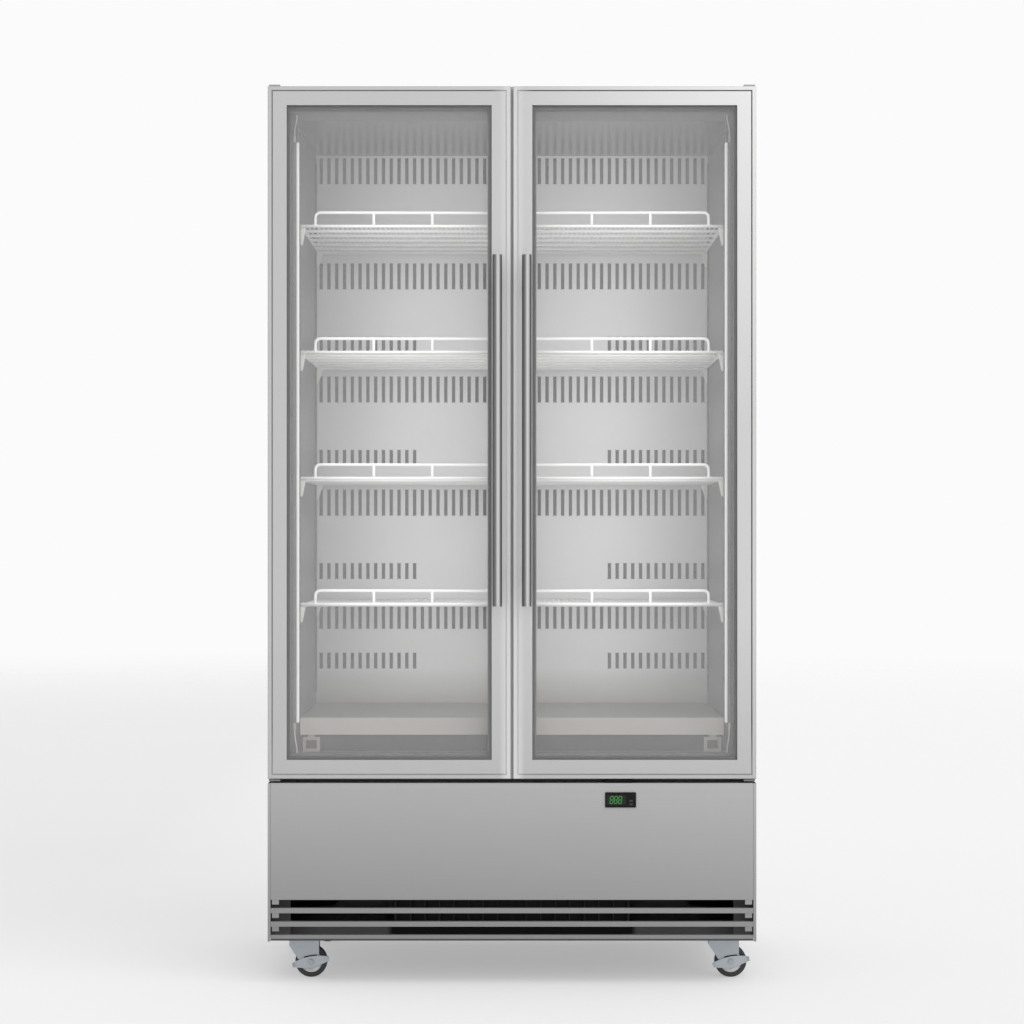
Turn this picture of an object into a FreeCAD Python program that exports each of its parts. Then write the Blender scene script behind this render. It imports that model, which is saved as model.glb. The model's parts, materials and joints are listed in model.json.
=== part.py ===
import FreeCAD, Part
import math
import os

from FreeCAD import Vector

# Two-door glass display fridge on casters. Millimetres: X across, Y to the back, Z up from the floor.

# Cabinet body
CABINET_WIDTH = 1130.0
CABINET_DEPTH = 650.0
BASE_HEIGHT = 100.0
BODY_HEIGHT = 1980.0
OUTER_SHEET = 1.2
SHEET_FLANGE = 20.0
LINER_SHEET = 1.2
SIDE_WALL = 62.0
ROOF_WALL = 66.0
REAR_WALL = 55.0
FLOOR_FOAM = 50.0
FRAME_PLATE = 2.0
MOUTH_FLARE = 14.0
FLARE_DEPTH = 40.0
SILL_RISE = 54.0
SILL_DEPTH = 95.0
WELL_DROP = 90.0
APRON = 110.0
REAR_MARGIN = 2.0
MULLION_WIDTH = 114.0
MULLION_DEPTH = 35.0
MULLION_TAPER = 12.0
MULLION_WALL = 2.0

# Lower front
FRONT_PANEL_RISE = 2.0
FRONT_PANEL_HEIGHT = 364.0
PANEL_SHEET = 1.2
PANEL_TOP_RETURN = 46.0
CHEEK_BAND = 6.5
PANEL_SIDE_GAP = 0.5
SLOT_COUNT = 3
SLOT_HEIGHT = 19.4
SLAT_HEIGHT = 11.6
LOWEST_SLAT = 13.0
SLAT_RETURN = 12.0
EAR_WIDTH = 16.0
EAR_DROP = 11.0
EAR_INSET = 3.0
HINGE_GAP = 10.0

# Base tray and rear grille
TRAY_SHEET = 2.0
TRAY_FLANGE = 25.0
BEAM_WIDTH = 90.0
BEAM_HEIGHT = 22.0
GRILLE_SLOT = (190.0, 8.0)
GRILLE_PITCH = 28.0
GRILLE_ROWS = 6
GRILLE_EDGE = 60.0
GLAND_DIAMETER = 24.0
GLAND_BORE = 11.0
GLAND_LENGTH = 14.0

# Doors
DOOR_DEPTH = 45.0
DOOR_GAP = 6.0
DOOR_HEAD_GAP = 2.0
FRAME_FACE = 44.0
LIP_WIDTH = 9.0
GROOVE = (3.0, 3.0)
FRAME_CHAMFER = 1.5
FRAME_WALL = 3.0
GLASS_FLANGE = 4.0
GLASS_BITE = 10.0
PANE = 4.0
PANE_GAP = 16.0
GLAZING_GAP = 0.5
SPACER_SIGHT = 7.0
SPACER_INSET = 3.0
GASKET_DEPTH = 10.0
GASKET_WIDTH = 18.0
GASKET_INSET = 15.0
GASKET_DART = (4.0, 4.0)
SEAL_GAP = 0.3

# Door handles
HANDLE_REACH = 55.0
HANDLE_DIAMETER = 22.0
HANDLE_INSET = 30.9
HANDLE_BOTTOM = 400.0
HANDLE_LENGTH = 807.0
HANDLE_POST = 12.0
HANDLE_POST_INSET = 70.0

# Door hinges
PIN_DIAMETER = 10.0
PIN_EDGE = 15.0
PIN_SETBACK = 22.0
PIN_ENTRY = 22.0
PIN_CLEARANCE = 0.05
BUSH_WIDTH = 22.0
BUSH_LENGTH = 28.0
BUSH_GAP = 1.0
HINGE_PLAY = 2.0
HINGE_PLATE = 4.0
HINGE_TOP_PLATE = 3.0
HINGE_WIDTH = 26.0
HINGE_DROP = 44.0
HINGE_REACH_BACK = 90.0
HINGE_NOSE = 14.0

# Back duct panel and its air slots
DUCT_GAP = 33.0
DUCT_SHEET = 1.2
DUCT_SIDE_GAP = 0.5
DUCT_LOW = 40.0
VENT_WIDTH = 8.6
VENT_HEIGHT = 66.5
VENT_PITCH = 40.0
VENT_EDGE = 8.0
VENT_ROW_RISE = 190.0
VENT_ROW_PITCH = 290.5
VENT_TOP_DROP = 6.0
SHORT_VENT_HEIGHT = 40.5
SHORT_VENT_COLUMNS = 7
SHORT_VENT_RISE = 128.0
LOW_VENT_RISE = 88.0

# Floor deck
DECK_RISE = 80.0
DECK_SHEET = 1.2
DECK_LIP = 40.0
DECK_SETBACK = 45.0
DECK_REAR_GAP = 3.0
DECK_SIDE_GAP = 4.5
FOOT_WIDTH = 40.0
FOOT_HEIGHT = 34.0
FOOT_DEPTH = 14.0
FOOT_BAR = 7.0
FOOT_INSET = 6.0
FOOT_NECK = 16.0

# Wire shelves
SHELF_RISE = 267.0
SHELF_PITCH = 297.0
SHELF_SETBACK = 55.0
SHELF_REAR_GAP = 12.0
SHELF_SIDE_GAP = 1.0
SHELF_CENTRE_GAP = 32.0
SHELF_WIRE = 6.0
CROSS_WIRES = 6
FIRST_CROSS = 45.0
MAT_WIRE = 3.0
MAT_PITCH = 44.8
MAT_EDGE = 6.0
RAIL_RISE = 32.0
RAIL_POST_INSET = 34.0
RAIL_SPANS = 3
RAIL_CORNER = 9.0

# Shelf pilasters and clips
PILASTER_WIDTH = 24.0
PILASTER_DEPTH = 4.0
PILASTER_RISE = 30.0
PILASTER_HEAD = 24.0
CLIP_HEIGHT = 40.0
CLIP_WIDTH = 10.0
CLIP_TOE = 3.0
CLIP_DEPTH = 20.0
CENTRE_CLIP_WIDTH = 56.0

# LED lights
LED_WIDTH = 7.6
LED_DEPTH = 10.0
LED_INSET = 20.0
LED_STAND = 12.3
LED_LOW = 70.0
LED_HIGH = 54.0
LEAD_DIAMETER = 3.0
LEAD_BEND = 8.0
LEAD_STRAIGHT = 8.0
LEAD_STEP = 3.0
PLUG_LENGTH = 28.0
PLUG_SIZE = 6.0

# Controller
CONTROLLER_X = 251.0
CONTROLLER_DROP = 38.4
BEZEL = (71.6, 35.0)
BEZEL_DEPTH = 2.5
BEZEL_CORNER = 2.0
CONTROLLER_BODY = (66.0, 29.0)
CONTROLLER_DEPTH = 48.0
CONTROLLER_WALL = 2.0
CUTOUT_GAP = 0.3
LENS = (44.0, 21.0)
LENS_DEPTH = 1.5
LENS_SHIFT = 9.5
KEY = (9.0, 5.0)
KEY_DEPTH = 6.0
KEY_PROUD = 1.0
KEY_GAP = 0.1
KEY_SHIFT = 24.0
KEY_DROPS = (2.0, 10.0)

# Condensing unit
CONDENSER = (550.0, 44.0, 272.0)
CONDENSER_SETBACK = 8.0
CONDENSER_FINS = 16
COIL_END_PLATE = 2.0
COIL_FIN = 3.0
COIL_SPINE = 6.0
SHROUD_WIDTH = 300.0
SHROUD_SHEET = 1.5
FAN_HUB_LENGTH = 24.0
FAN_DIAMETER = 236.0
FAN_TIP_GAP = 6.0
FAN_HUB = 60.0
FAN_BLADES = 4
FAN_CHORD = 54.0
FAN_RUN_GAP = 6.0
BLADE_PITCH = 28.0
BLADE_SHEET = 2.0
MOTOR_DIAMETER = 84.0
MOTOR_LENGTH = 62.0
MOTOR_ARM = 14.0
SHAFT_DIAMETER = 8.0
SHAFT_CLEARANCE = 0.05
COMPRESSOR_DIAMETER = 176.0
COMPRESSOR_HEIGHT = 196.0
COMPRESSOR_DOME = 37.0
COMPRESSOR_X = -190.0
COMPRESSOR_SETBACK = 400.0
COMPRESSOR_BASE = (230.0, 170.0, 4.0)
COMPRESSOR_FOOT = (26.0, 16.0)
PIPE_DIAMETER = 10.0
PIPE_BEND = 16.0
PIPE_RISE = 35.0
PIPE_SPREAD = 44.0
PIPE_PORT = (40.0, 40.0)
PIPE_PORT_X = -390.0
COIL_PIPE_RISE = 80.0

# Evaporator unit under the floor deck
EVAPORATOR = (660.0, 210.0, 140.0)
EVAPORATOR_SETBACK = 40.0
EVAPORATOR_FINS = 16
EVAPORATOR_FAN_DIAMETER = 136.0
EVAPORATOR_FAN_SETBACK = 110.0
EVAPORATOR_PLATE = (260.0, 150.0)
EVAPORATOR_MOTOR = (52.0, 44.0)
EVAPORATOR_HUB = 40.0
EVAPORATOR_HUB_LENGTH = 24.0
EVAPORATOR_CHORD = 36.0

# Casters
CASTER_INSET = 71.5
CASTER_FRONT = 54.7
CASTER_REAR = 95.0
CASTER_PLATE = (96.0, 70.0, 3.0)
KING_PIN = 12.0
FORK_PLATE = 3.0
FORK_CROWN = 9.0
FORK_GAP = 0.3
FORK_FRONT = 40.0
FORK_BACK = 30.0
CHEEK_GAP = 2.0
TRAIL = 21.0
WHEEL_DIAMETER = 75.0
TREAD_WIDTH = 25.0
TREAD_SHOULDER = 5.0
AXLE_DIAMETER = 8.0
AXLE_STUB = 4.0
LEVER_LENGTH = 87.0
LEVER_HEIGHT = 25.0
LEVER_END = 9.0
LEVER_PLATE = 2.5
LEVER_GAP = 0.6
LEVER_PEDAL = 9.0
LEVER_TILT = 10.5

# Planes that the pieces share
half_width = CABINET_WIDTH / 2
body_top = BASE_HEIGHT + BODY_HEIGHT
total_depth = HANDLE_REACH + DOOR_DEPTH + GASKET_DEPTH + SEAL_GAP + CABINET_DEPTH
door_y = HANDLE_REACH - total_depth / 2
door_back_y = door_y + DOOR_DEPTH
frame_y = door_back_y + GASKET_DEPTH + SEAL_GAP
body_y = frame_y + FRAME_PLATE
rear_y = frame_y + CABINET_DEPTH
foam_front_y = body_y + OUTER_SHEET
foam_rear_y = rear_y - 2 * OUTER_SHEET
panel_bottom = BASE_HEIGHT + FRONT_PANEL_RISE
panel_top = panel_bottom + FRONT_PANEL_HEIGHT
door_bottom = panel_top + HINGE_GAP
door_top = body_top - DOOR_HEAD_GAP
sill_z = door_bottom + SILL_RISE
ceiling_z = body_top - ROOF_WALL
inner_x = half_width - SIDE_WALL
mouth_x = inner_x + MOUTH_FLARE
mouth_top = ceiling_z + MOUTH_FLARE
flare_y = frame_y + FLARE_DEPTH
liner_rear_y = rear_y - REAR_WALL
duct_y = liner_rear_y - DUCT_GAP
well_front_y = frame_y + SILL_DEPTH
well_z = sill_z - WELL_DROP
pan_z = well_z - LINER_SHEET - FLOOR_FOAM
tray_z = BASE_HEIGHT + TRAY_SHEET
deck_z = sill_z + DECK_RISE
skin_x = half_width - OUTER_SHEET
shelf_front_y = frame_y + SHELF_SETBACK
shelf_rear_y = duct_y - SHELF_REAR_GAP
shelf_outer_x = inner_x - PILASTER_DEPTH - SHELF_SIDE_GAP
shelf_inner_x = SHELF_CENTRE_GAP / 2
pin_x = half_width - PIN_EDGE
pin_y = door_y + PIN_SETBACK
pin_radius = PIN_DIAMETER / 2
wheel_radius = WHEEL_DIAMETER / 2

AXIS_X = Vector(1, 0, 0)
AXIS_Y = Vector(0, 1, 0)
AXIS_Z = Vector(0, 0, 1)


def block(x, y, z):
    """A box between the two ends given for each axis."""
    corner = Vector(min(x), min(y), min(z))
    return Part.makeBox(max(x) - min(x), max(y) - min(y), max(z) - min(z), corner)


def rod(centre, axis, diameter, length):
    """A cylinder that starts at centre and runs along axis."""
    return Part.makeCylinder(diameter / 2, length, centre, axis)


def on_xy(points, z=0.0):
    return [Vector(x, y, z) for x, y in points]


def on_yz(points, x=0.0):
    return [Vector(x, y, z) for y, z in points]


def on_xz(points, y=0.0):
    return [Vector(x, y, z) for x, z in points]


def outline(points):
    return Part.makePolygon(points + points[:1])


def prism(points, sweep, holes=()):
    """Extrude a closed outline, with any holes, along the sweep vector."""
    face = Part.Face([outline(points)] + [outline(hole) for hole in holes])
    face.validate()
    return face.extrude(sweep)


def rectangle(width, height, centre=(0.0, 0.0)):
    """The four corners of a rectangle about a centre."""
    u, v = centre
    w, h = width / 2, height / 2
    return [(u - w, v - h), (u + w, v - h), (u + w, v + h), (u - w, v + h)]


def mirrored(shape):
    return shape.mirror(Vector(0, 0, 0), AXIS_X)


def both_sides(shape):
    return [shape, mirrored(shape)]


def joined(first, *others):
    return first.fuse(list(others)).removeSplitter()


def group(*shapes):
    return Part.makeCompound(list(shapes))


def span(half):
    return (-half, half)


def regular(sides, across_flats, turn=0.5):
    """Corners of a regular polygon about the origin, with a flat at the top when turn is a half."""
    radius = across_flats / 2 / math.cos(math.pi / sides)
    angles = [2 * math.pi * (i + turn) / sides + math.pi / 2 for i in range(sides)]
    return [(radius * math.cos(a), radius * math.sin(a)) for a in angles]


def bar_along_x(x, centre, size, sides=4):
    """A wire along X with flats at top and bottom; centre is its (y, z)."""
    section = [(centre[0] + u, centre[1] + v) for u, v in regular(sides, size)]
    return prism(on_yz(section, x[0]), Vector(x[1] - x[0], 0, 0))


def bent_tube(points, bend, diameter, sides=6):
    """A tube along straight runs joined by tangent arcs."""
    edges = []
    start = points[0]
    for before, corner, after in zip(points, points[1:], points[2:]):
        back = (before - corner).normalize()
        ahead = (after - corner).normalize()
        half_turn = (math.pi - back.getAngle(ahead)) / 2
        reach = bend * math.tan(half_turn)
        first = corner + back * reach
        last = corner + ahead * reach
        inward = (back + ahead).normalize()
        middle = corner + inward * (bend / math.cos(half_turn) - bend)
        edges.append(Part.LineSegment(start, first).toShape())
        edges.append(Part.Arc(first, middle, last).toShape())
        start = last
    edges.append(Part.LineSegment(start, points[-1]).toShape())
    path = Part.Wire(edges)
    heading = (points[1] - points[0]).normalize()
    turn = FreeCAD.Rotation(AXIS_Z, heading)
    section = [points[0] + turn.multVec(Vector(u, v, 0)) for u, v in regular(sides, diameter)]
    return path.makePipeShell([outline(section)], True, False)


def room_plan(side, rear):
    """Plan of the cold room between the liner walls, grown by side and rear."""
    return [
        (-mouth_x - side, body_y),
        (mouth_x + side, body_y),
        (inner_x + side, flare_y),
        (inner_x + side, rear),
        (-inner_x - side, rear),
        (-inner_x - side, flare_y),
    ]


def flare_offset(y):
    """How far the mouth stands outside the liner walls at depth y."""
    return MOUTH_FLARE * (flare_y - y) / (flare_y - body_y)


def room_prism(side, rear):
    return prism(on_xy(room_plan(side, rear)), Vector(0, 0, body_top))


def side_panel():
    """Right-hand outer side: a sheet with flanges folded in at the front and rear."""
    edge = half_width - SHEET_FLANGE
    back = rear_y - OUTER_SHEET
    profile = [
        (half_width, body_y),
        (half_width, back),
        (edge, back),
        (edge, foam_rear_y),
        (skin_x, foam_rear_y),
        (skin_x, foam_front_y),
        (edge, foam_front_y),
        (edge, body_y),
    ]
    return prism(on_xy(profile, BASE_HEIGHT), Vector(0, 0, BODY_HEIGHT - OUTER_SHEET))


def top_panel():
    """Roof sheet over the side panels, with front and rear flanges folded down."""
    sheet_z = body_top - OUTER_SHEET
    flange_z = (body_top - SHEET_FLANGE, sheet_z)
    flange_x = span(half_width - SHEET_FLANGE)
    web = block(span(half_width), (body_y, rear_y - OUTER_SHEET), (sheet_z, body_top))
    front = block(flange_x, (body_y, foam_front_y), flange_z)
    rear = block(flange_x, (foam_rear_y, rear_y - OUTER_SHEET), flange_z)
    return joined(web, front, rear)


def rear_panel():
    edge = half_width - REAR_MARGIN
    return block(span(edge), (rear_y - OUTER_SHEET, rear_y), (pan_z, body_top - REAR_MARGIN))


def cabinet_floor_pan():
    pan = block(span(skin_x), (foam_front_y, foam_rear_y), (pan_z - OUTER_SHEET, pan_z))
    return pan.cut(pipe_port())


def inner_liner():
    """Two flared side walls, a flared ceiling, the back and the stepped floor, as folded panels."""
    sheet = LINER_SHEET
    rear = liner_rear_y + sheet
    low = well_z - sheet
    wall = prism(
        on_xy(
            [
                (mouth_x, body_y),
                (mouth_x + sheet, body_y),
                (inner_x + sheet, flare_y),
                (inner_x + sheet, rear),
                (inner_x, rear),
                (inner_x, flare_y),
            ],
            low,
        ),
        Vector(0, 0, mouth_top + sheet - low),
    )
    roof_line = [(body_y, mouth_top), (flare_y, ceiling_z), (rear, ceiling_z)]
    under_roof = roof_line[::-1] + [(body_y, low), (rear, low)]
    under_roof = [(y, z + sheet if z > low else z) for y, z in under_roof]
    width = 2 * (mouth_x + sheet)
    wall = wall.common(prism(on_yz(under_roof, -width / 2), Vector(width, 0, 0)))
    ceiling_profile = roof_line + [(y, z + sheet) for y, z in roof_line[::-1]]
    ceiling = prism(on_yz(ceiling_profile, -width / 2), Vector(width, 0, 0))
    ceiling = ceiling.common(room_prism(0.0, rear))
    back = block(span(inner_x), (liner_rear_y, rear), (low, ceiling_z))
    floor_profile = [
        (body_y, sill_z),
        (well_front_y, sill_z),
        (well_front_y, well_z),
        (liner_rear_y, well_z),
        (liner_rear_y, low),
        (well_front_y - sheet, low),
        (well_front_y - sheet, sill_z - sheet),
        (body_y, sill_z - sheet),
    ]
    floor = prism(on_yz(floor_profile, -width / 2), Vector(width, 0, 0))
    floor = floor.common(room_prism(0.0, liner_rear_y)).cut(pipe_port())
    return group(*both_sides(wall), ceiling, back, floor)


def foam_insulation():
    """Foam slabs that fill the walls between the outer sheets and the liner."""
    sheet = LINER_SHEET
    outside = inner_x + sheet
    front_lift = flare_offset(foam_front_y)
    top = body_top - OUTER_SHEET
    roof_z = ceiling_z + sheet
    side = prism(
        on_xy(
            [
                (outside + front_lift, foam_front_y),
                (skin_x, foam_front_y),
                (skin_x, foam_rear_y),
                (outside, foam_rear_y),
                (outside, flare_y),
            ],
            pan_z,
        ),
        Vector(0, 0, top - pan_z),
    )
    between_sides = room_prism(sheet, foam_rear_y)
    width = 2 * (mouth_x + sheet)
    roof_profile = [
        (foam_front_y, roof_z + front_lift),
        (flare_y, roof_z),
        (foam_rear_y, roof_z),
        (foam_rear_y, top),
        (foam_front_y, top),
    ]
    roof = prism(on_yz(roof_profile, -width / 2), Vector(width, 0, 0)).common(between_sides)
    back_y = liner_rear_y + sheet
    back = block(span(outside), (back_y, foam_rear_y), (pan_z, roof_z))
    floor_profile = [
        (foam_front_y, pan_z),
        (back_y, pan_z),
        (back_y, well_z - sheet),
        (well_front_y - sheet, well_z - sheet),
        (well_front_y - sheet, sill_z - sheet),
        (foam_front_y, sill_z - sheet),
    ]
    floor = prism(on_yz(floor_profile, -width / 2), Vector(width, 0, 0))
    floor = floor.common(room_prism(0.0, foam_rear_y)).cut(pipe_port())
    return group(*both_sides(side), roof, back, floor)


def front_frame():
    """Four flat bars round the mouth, which the door gaskets close on."""
    depth = (frame_y, body_y)
    side = block((mouth_x, half_width), depth, (BASE_HEIGHT, body_top))
    head = block(span(mouth_x), depth, (mouth_top, body_top))
    sill = block(span(mouth_x), depth, (sill_z - APRON, sill_z))
    return group(*both_sides(side), head, sill)


def centre_mullion():
    """Hollow post between the doors, narrower at the back, trimmed under the flared ceiling."""

    def section(inset):
        front = MULLION_WIDTH / 2 - inset
        rear = front - MULLION_TAPER
        near = frame_y + inset
        far = frame_y + MULLION_DEPTH - inset
        return on_xy([(-front, near), (front, near), (rear, far), (-rear, far)], sill_z)

    post = prism(section(0.0), Vector(0, 0, mouth_top - sill_z), [section(MULLION_WALL)])
    roof = [
        (frame_y, mouth_top),
        (body_y, mouth_top),
        (flare_y, ceiling_z),
        (flare_y, sill_z),
        (frame_y, sill_z),
    ]
    return post.common(prism(on_yz(roof, -half_width), Vector(CABINET_WIDTH, 0, 0)))


def base_tray():
    """Folded tray under the machine compartment with two beams over the casters."""
    outer = block(span(skin_x), (foam_front_y, foam_rear_y), (BASE_HEIGHT, BASE_HEIGHT + TRAY_FLANGE))
    inside_x = skin_x - TRAY_SHEET
    inside_y = (foam_front_y + TRAY_SHEET, foam_rear_y - TRAY_SHEET)
    tray = outer.cut(block(span(inside_x), inside_y, (tray_z, BASE_HEIGHT + TRAY_FLANGE)))
    beams = []
    for y in (caster_front_y, caster_rear_y):
        for side in (-1, 1):
            ends = (side * (caster_x - BEAM_WIDTH / 2), side * inside_x)
            solid = block(ends, (y - BEAM_WIDTH / 2, y + BEAM_WIDTH / 2), (tray_z, tray_z + BEAM_HEIGHT))
            beams.append(solid)
    return joined(tray, *beams)


def front_cheeks():
    """Folded strips that carry the side lines forward to the door plane below the doors."""
    edge = half_width - CHEEK_BAND
    profile = [
        (half_width, door_y),
        (half_width, frame_y),
        (skin_x, frame_y),
        (skin_x, door_y + OUTER_SHEET),
        (edge, door_y + OUTER_SHEET),
        (edge, door_y),
    ]
    cheek = prism(on_xy(profile, BASE_HEIGHT), Vector(0, 0, panel_top - BASE_HEIGHT))
    return group(*both_sides(cheek))


def ears(z):
    """Tabs that hang behind the lower edge of a bar at both ends."""
    outer = panel_x - EAR_INSET
    depth = (door_y + PANEL_SHEET, door_y + 2 * PANEL_SHEET)
    return both_sides(block((outer - EAR_WIDTH, outer), depth, (z - EAR_DROP, z + SLAT_HEIGHT / 2)))


def channel(low, high, low_return, high_return):
    """A front sheet with its lower and upper edges folded back."""
    sheet = PANEL_SHEET
    profile = [
        (door_y, low),
        (door_y + low_return, low),
        (door_y + low_return, low + sheet),
        (door_y + sheet, low + sheet),
        (door_y + sheet, high - sheet),
        (door_y + high_return, high - sheet),
        (door_y + high_return, high),
        (door_y, high),
    ]
    return prism(on_yz(profile, -panel_x), Vector(2 * panel_x, 0, 0))


def front_panel():
    """Lower front sheet above the slots, with the controller's cut-out and the first ears."""
    sheet = channel(slot_top, panel_top, SLAT_RETURN, PANEL_TOP_RETURN)
    width, height = (size + 2 * CUTOUT_GAP for size in CONTROLLER_BODY)
    hole = rectangle(width, height, (CONTROLLER_X, controller_z))
    cut = prism(on_xz(hole, door_y), Vector(0, PANEL_SHEET, 0))
    return joined(sheet.cut(cut), *ears(slot_top))


def louvre_slats():
    """Bars between the slots, with the ears of the slots below them."""
    slats = []
    for i in range(SLOT_COUNT):
        low = lowest_slat_top + i * (SLOT_HEIGHT + SLAT_HEIGHT) - SLAT_HEIGHT
        if i == 0:
            slats.append(channel(panel_bottom, lowest_slat_top, SLAT_RETURN, SLAT_RETURN))
        else:
            slat = channel(low, low + SLAT_HEIGHT, SLAT_RETURN, SLAT_RETURN)
            slats.append(joined(slat, *ears(low)))
    return group(*slats)


def rear_grille():
    """Lower rear cover with two columns of louvre slots and a bare cable gland."""
    edge = half_width - REAR_MARGIN
    low = BASE_HEIGHT + REAR_MARGIN
    depth = (rear_y - OUTER_SHEET, rear_y)
    corners = [(-edge, low), (edge, low), (edge, pan_z - REAR_MARGIN), (-edge, pan_z - REAR_MARGIN)]
    holes = []
    slot_x = edge - GRILLE_EDGE - GRILLE_SLOT[0] / 2
    for x in (-slot_x, slot_x):
        for row in range(GRILLE_ROWS):
            centre = (x, low + GRILLE_EDGE + row * GRILLE_PITCH)
            holes.append(on_xz(rectangle(*GRILLE_SLOT, centre), depth[0]))
    corners = on_xz(corners, depth[0])
    sheet = prism(corners, Vector(0, OUTER_SHEET, 0), holes)
    mouth = Vector(0, depth[0], low + GRILLE_EDGE)
    bore = rod(mouth - AXIS_Y * GLAND_LENGTH, AXIS_Y, GLAND_BORE, 2 * GLAND_LENGTH)
    gland = rod(mouth - AXIS_Y * GLAND_LENGTH, AXIS_Y, GLAND_DIAMETER, GLAND_LENGTH)
    return joined(sheet, gland).cut(bore)


def vent_rows():
    """Lower edge, height and columns per side (None for all) of each row of air slots."""
    first = deck_z + VENT_ROW_RISE
    top = ceiling_z - VENT_TOP_DROP - VENT_HEIGHT
    count = int((top - first - VENT_HEIGHT) / VENT_ROW_PITCH) + 1
    rows = [(top, VENT_HEIGHT, None)]
    rows.append((deck_z + LOW_VENT_RISE, SHORT_VENT_HEIGHT, SHORT_VENT_COLUMNS))
    for i in range(count):
        z = first + i * VENT_ROW_PITCH
        rows.append((z, VENT_HEIGHT, None))
        if i < count - 1:
            rows.append((z + SHORT_VENT_RISE, SHORT_VENT_HEIGHT, SHORT_VENT_COLUMNS))
    return rows


def back_duct_panel():
    """Slotted air panel, folded back at both sides to stand off the liner."""
    edge = inner_x - DUCT_SIDE_GAP
    low = deck_z - DUCT_LOW
    high = ceiling_z - DUCT_SIDE_GAP
    columns = int((2 * edge - 2 * VENT_EDGE) / VENT_PITCH) + 1
    holes = []
    for z, height, kept in vent_rows():
        for i in range(columns):
            if kept is None or i < kept or i >= columns - kept:
                x = (i - (columns - 1) / 2) * VENT_PITCH
                holes.append(on_xz(rectangle(VENT_WIDTH, height, (x, z + height / 2)), duct_y))
    corners = on_xz([(-edge, low), (edge, low), (edge, high), (-edge, high)], duct_y)
    sheet = prism(corners, Vector(0, DUCT_SHEET, 0), holes)
    side = block((edge - DUCT_SHEET, edge), (duct_y + DUCT_SHEET, liner_rear_y), (low, high))
    return joined(sheet, *both_sides(side))


def pilaster_places():
    """Depth of the front and rear side pilasters' centre lines."""
    return (shelf_front_y + PILASTER_WIDTH / 2, shelf_rear_y - PILASTER_WIDTH / 2)


def pilasters():
    """Slotted uprights: two on each side wall, one behind the mullion, one on the duct panel."""
    height = (deck_z + PILASTER_RISE, ceiling_z - PILASTER_HEAD)
    strips = []
    for y in pilaster_places():
        strip = block(
            (inner_x - PILASTER_DEPTH, inner_x),
            (y - PILASTER_WIDTH / 2, y + PILASTER_WIDTH / 2),
            height,
        )
        strips += both_sides(strip)
    for y in (mullion_back_y, duct_y - PILASTER_DEPTH):
        strips.append(block(span(PILASTER_WIDTH / 2), (y, y + PILASTER_DEPTH), height))
    return group(*strips)


def shelf_heights():
    first = deck_z + SHELF_RISE
    levels = int((ceiling_z - first) / SHELF_PITCH) + 1
    return [first + i * SHELF_PITCH for i in range(levels)]


def shelf_clips():
    """Tapered clips under every shelf corner, hooked on the pilasters."""
    face = inner_x - PILASTER_DEPTH
    front_face = mullion_back_y + PILASTER_DEPTH
    rear_face = duct_y - PILASTER_DEPTH
    front_tip = shelf_front_y + SHELF_WIRE / 2
    rear_tip = shelf_rear_y - SHELF_WIRE / 2
    clips = []
    for z in shelf_heights():
        top = z - SHELF_WIRE / 2
        low = top - CLIP_HEIGHT
        wedge = on_xz([(face, top), (face, low), (face - CLIP_TOE, low), (face - CLIP_WIDTH, top)])
        for y in pilaster_places():
            clip = prism(wedge, Vector(0, CLIP_DEPTH, 0))
            clip.translate(Vector(0, y - CLIP_DEPTH / 2, 0))
            clips += both_sides(clip)
        for root, tip in ((front_face, front_tip), (rear_face, rear_tip)):
            toe = root + math.copysign(CLIP_TOE, tip - root)
            wedge = on_yz([(root, top), (root, low), (toe, low), (tip, top)], -CENTRE_CLIP_WIDTH / 2)
            clips.append(prism(wedge, Vector(CENTRE_CLIP_WIDTH, 0, 0)))
    return group(*clips)


def guard_rail(z):
    """Bent front rail with its posts, standing on the front wire of a right-hand shelf."""
    wire = SHELF_WIRE
    left = shelf_inner_x + RAIL_POST_INSET - wire / 2
    right = shelf_outer_x - RAIL_POST_INSET + wire / 2
    low = z + wire / 2
    high = z + RAIL_RISE + wire / 2
    y = shelf_front_y - wire / 2

    def arch(inset, cut):
        """Outer or inner edge of the rail, with its upper corners cut off."""
        a, b, top = left + inset, right - inset, high - inset
        corners = [(a, low), (a, top - cut), (a + cut, top), (b - cut, top), (b, top - cut), (b, low)]
        return on_xz(corners, y)

    turn = wire * math.tan(math.pi / 8)
    inner = arch(wire, RAIL_CORNER - turn)
    rail = prism(arch(0.0, RAIL_CORNER) + inner[::-1], Vector(0, wire, 0))
    spacing = (right - left - wire) / RAIL_SPANS
    posts = []
    for i in range(1, RAIL_SPANS):
        x = left + i * spacing
        posts.append(block((x, x + wire), (y, y + wire), (low, high - wire)))
    return joined(rail, *posts)


def shelf_mat(z):
    """Flat mat of fine wires that run front to back, as one slotted sheet of a right-hand shelf."""
    low = z + SHELF_WIRE / 2
    front = shelf_front_y + SHELF_WIRE / 2
    rear = shelf_rear_y + SHELF_WIRE / 2
    middle = (shelf_inner_x + shelf_outer_x) / 2
    gaps = int((shelf_outer_x - shelf_inner_x - MAT_WIRE) / MAT_PITCH)
    holes = []
    for i in range(gaps):
        x = middle + (i - (gaps - 1) / 2) * MAT_PITCH
        u = (MAT_PITCH - MAT_WIRE) / 2
        ends = (front + MAT_EDGE, rear - MAT_EDGE)
        holes.append(on_xy([(x - u, ends[0]), (x + u, ends[0]), (x + u, ends[1]), (x - u, ends[1])], low))
    a, b = shelf_inner_x, shelf_outer_x
    corners = on_xy([(a, front), (b, front), (b, rear), (a, rear)], low)
    return prism(corners, Vector(0, 0, MAT_WIRE), holes)


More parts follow.
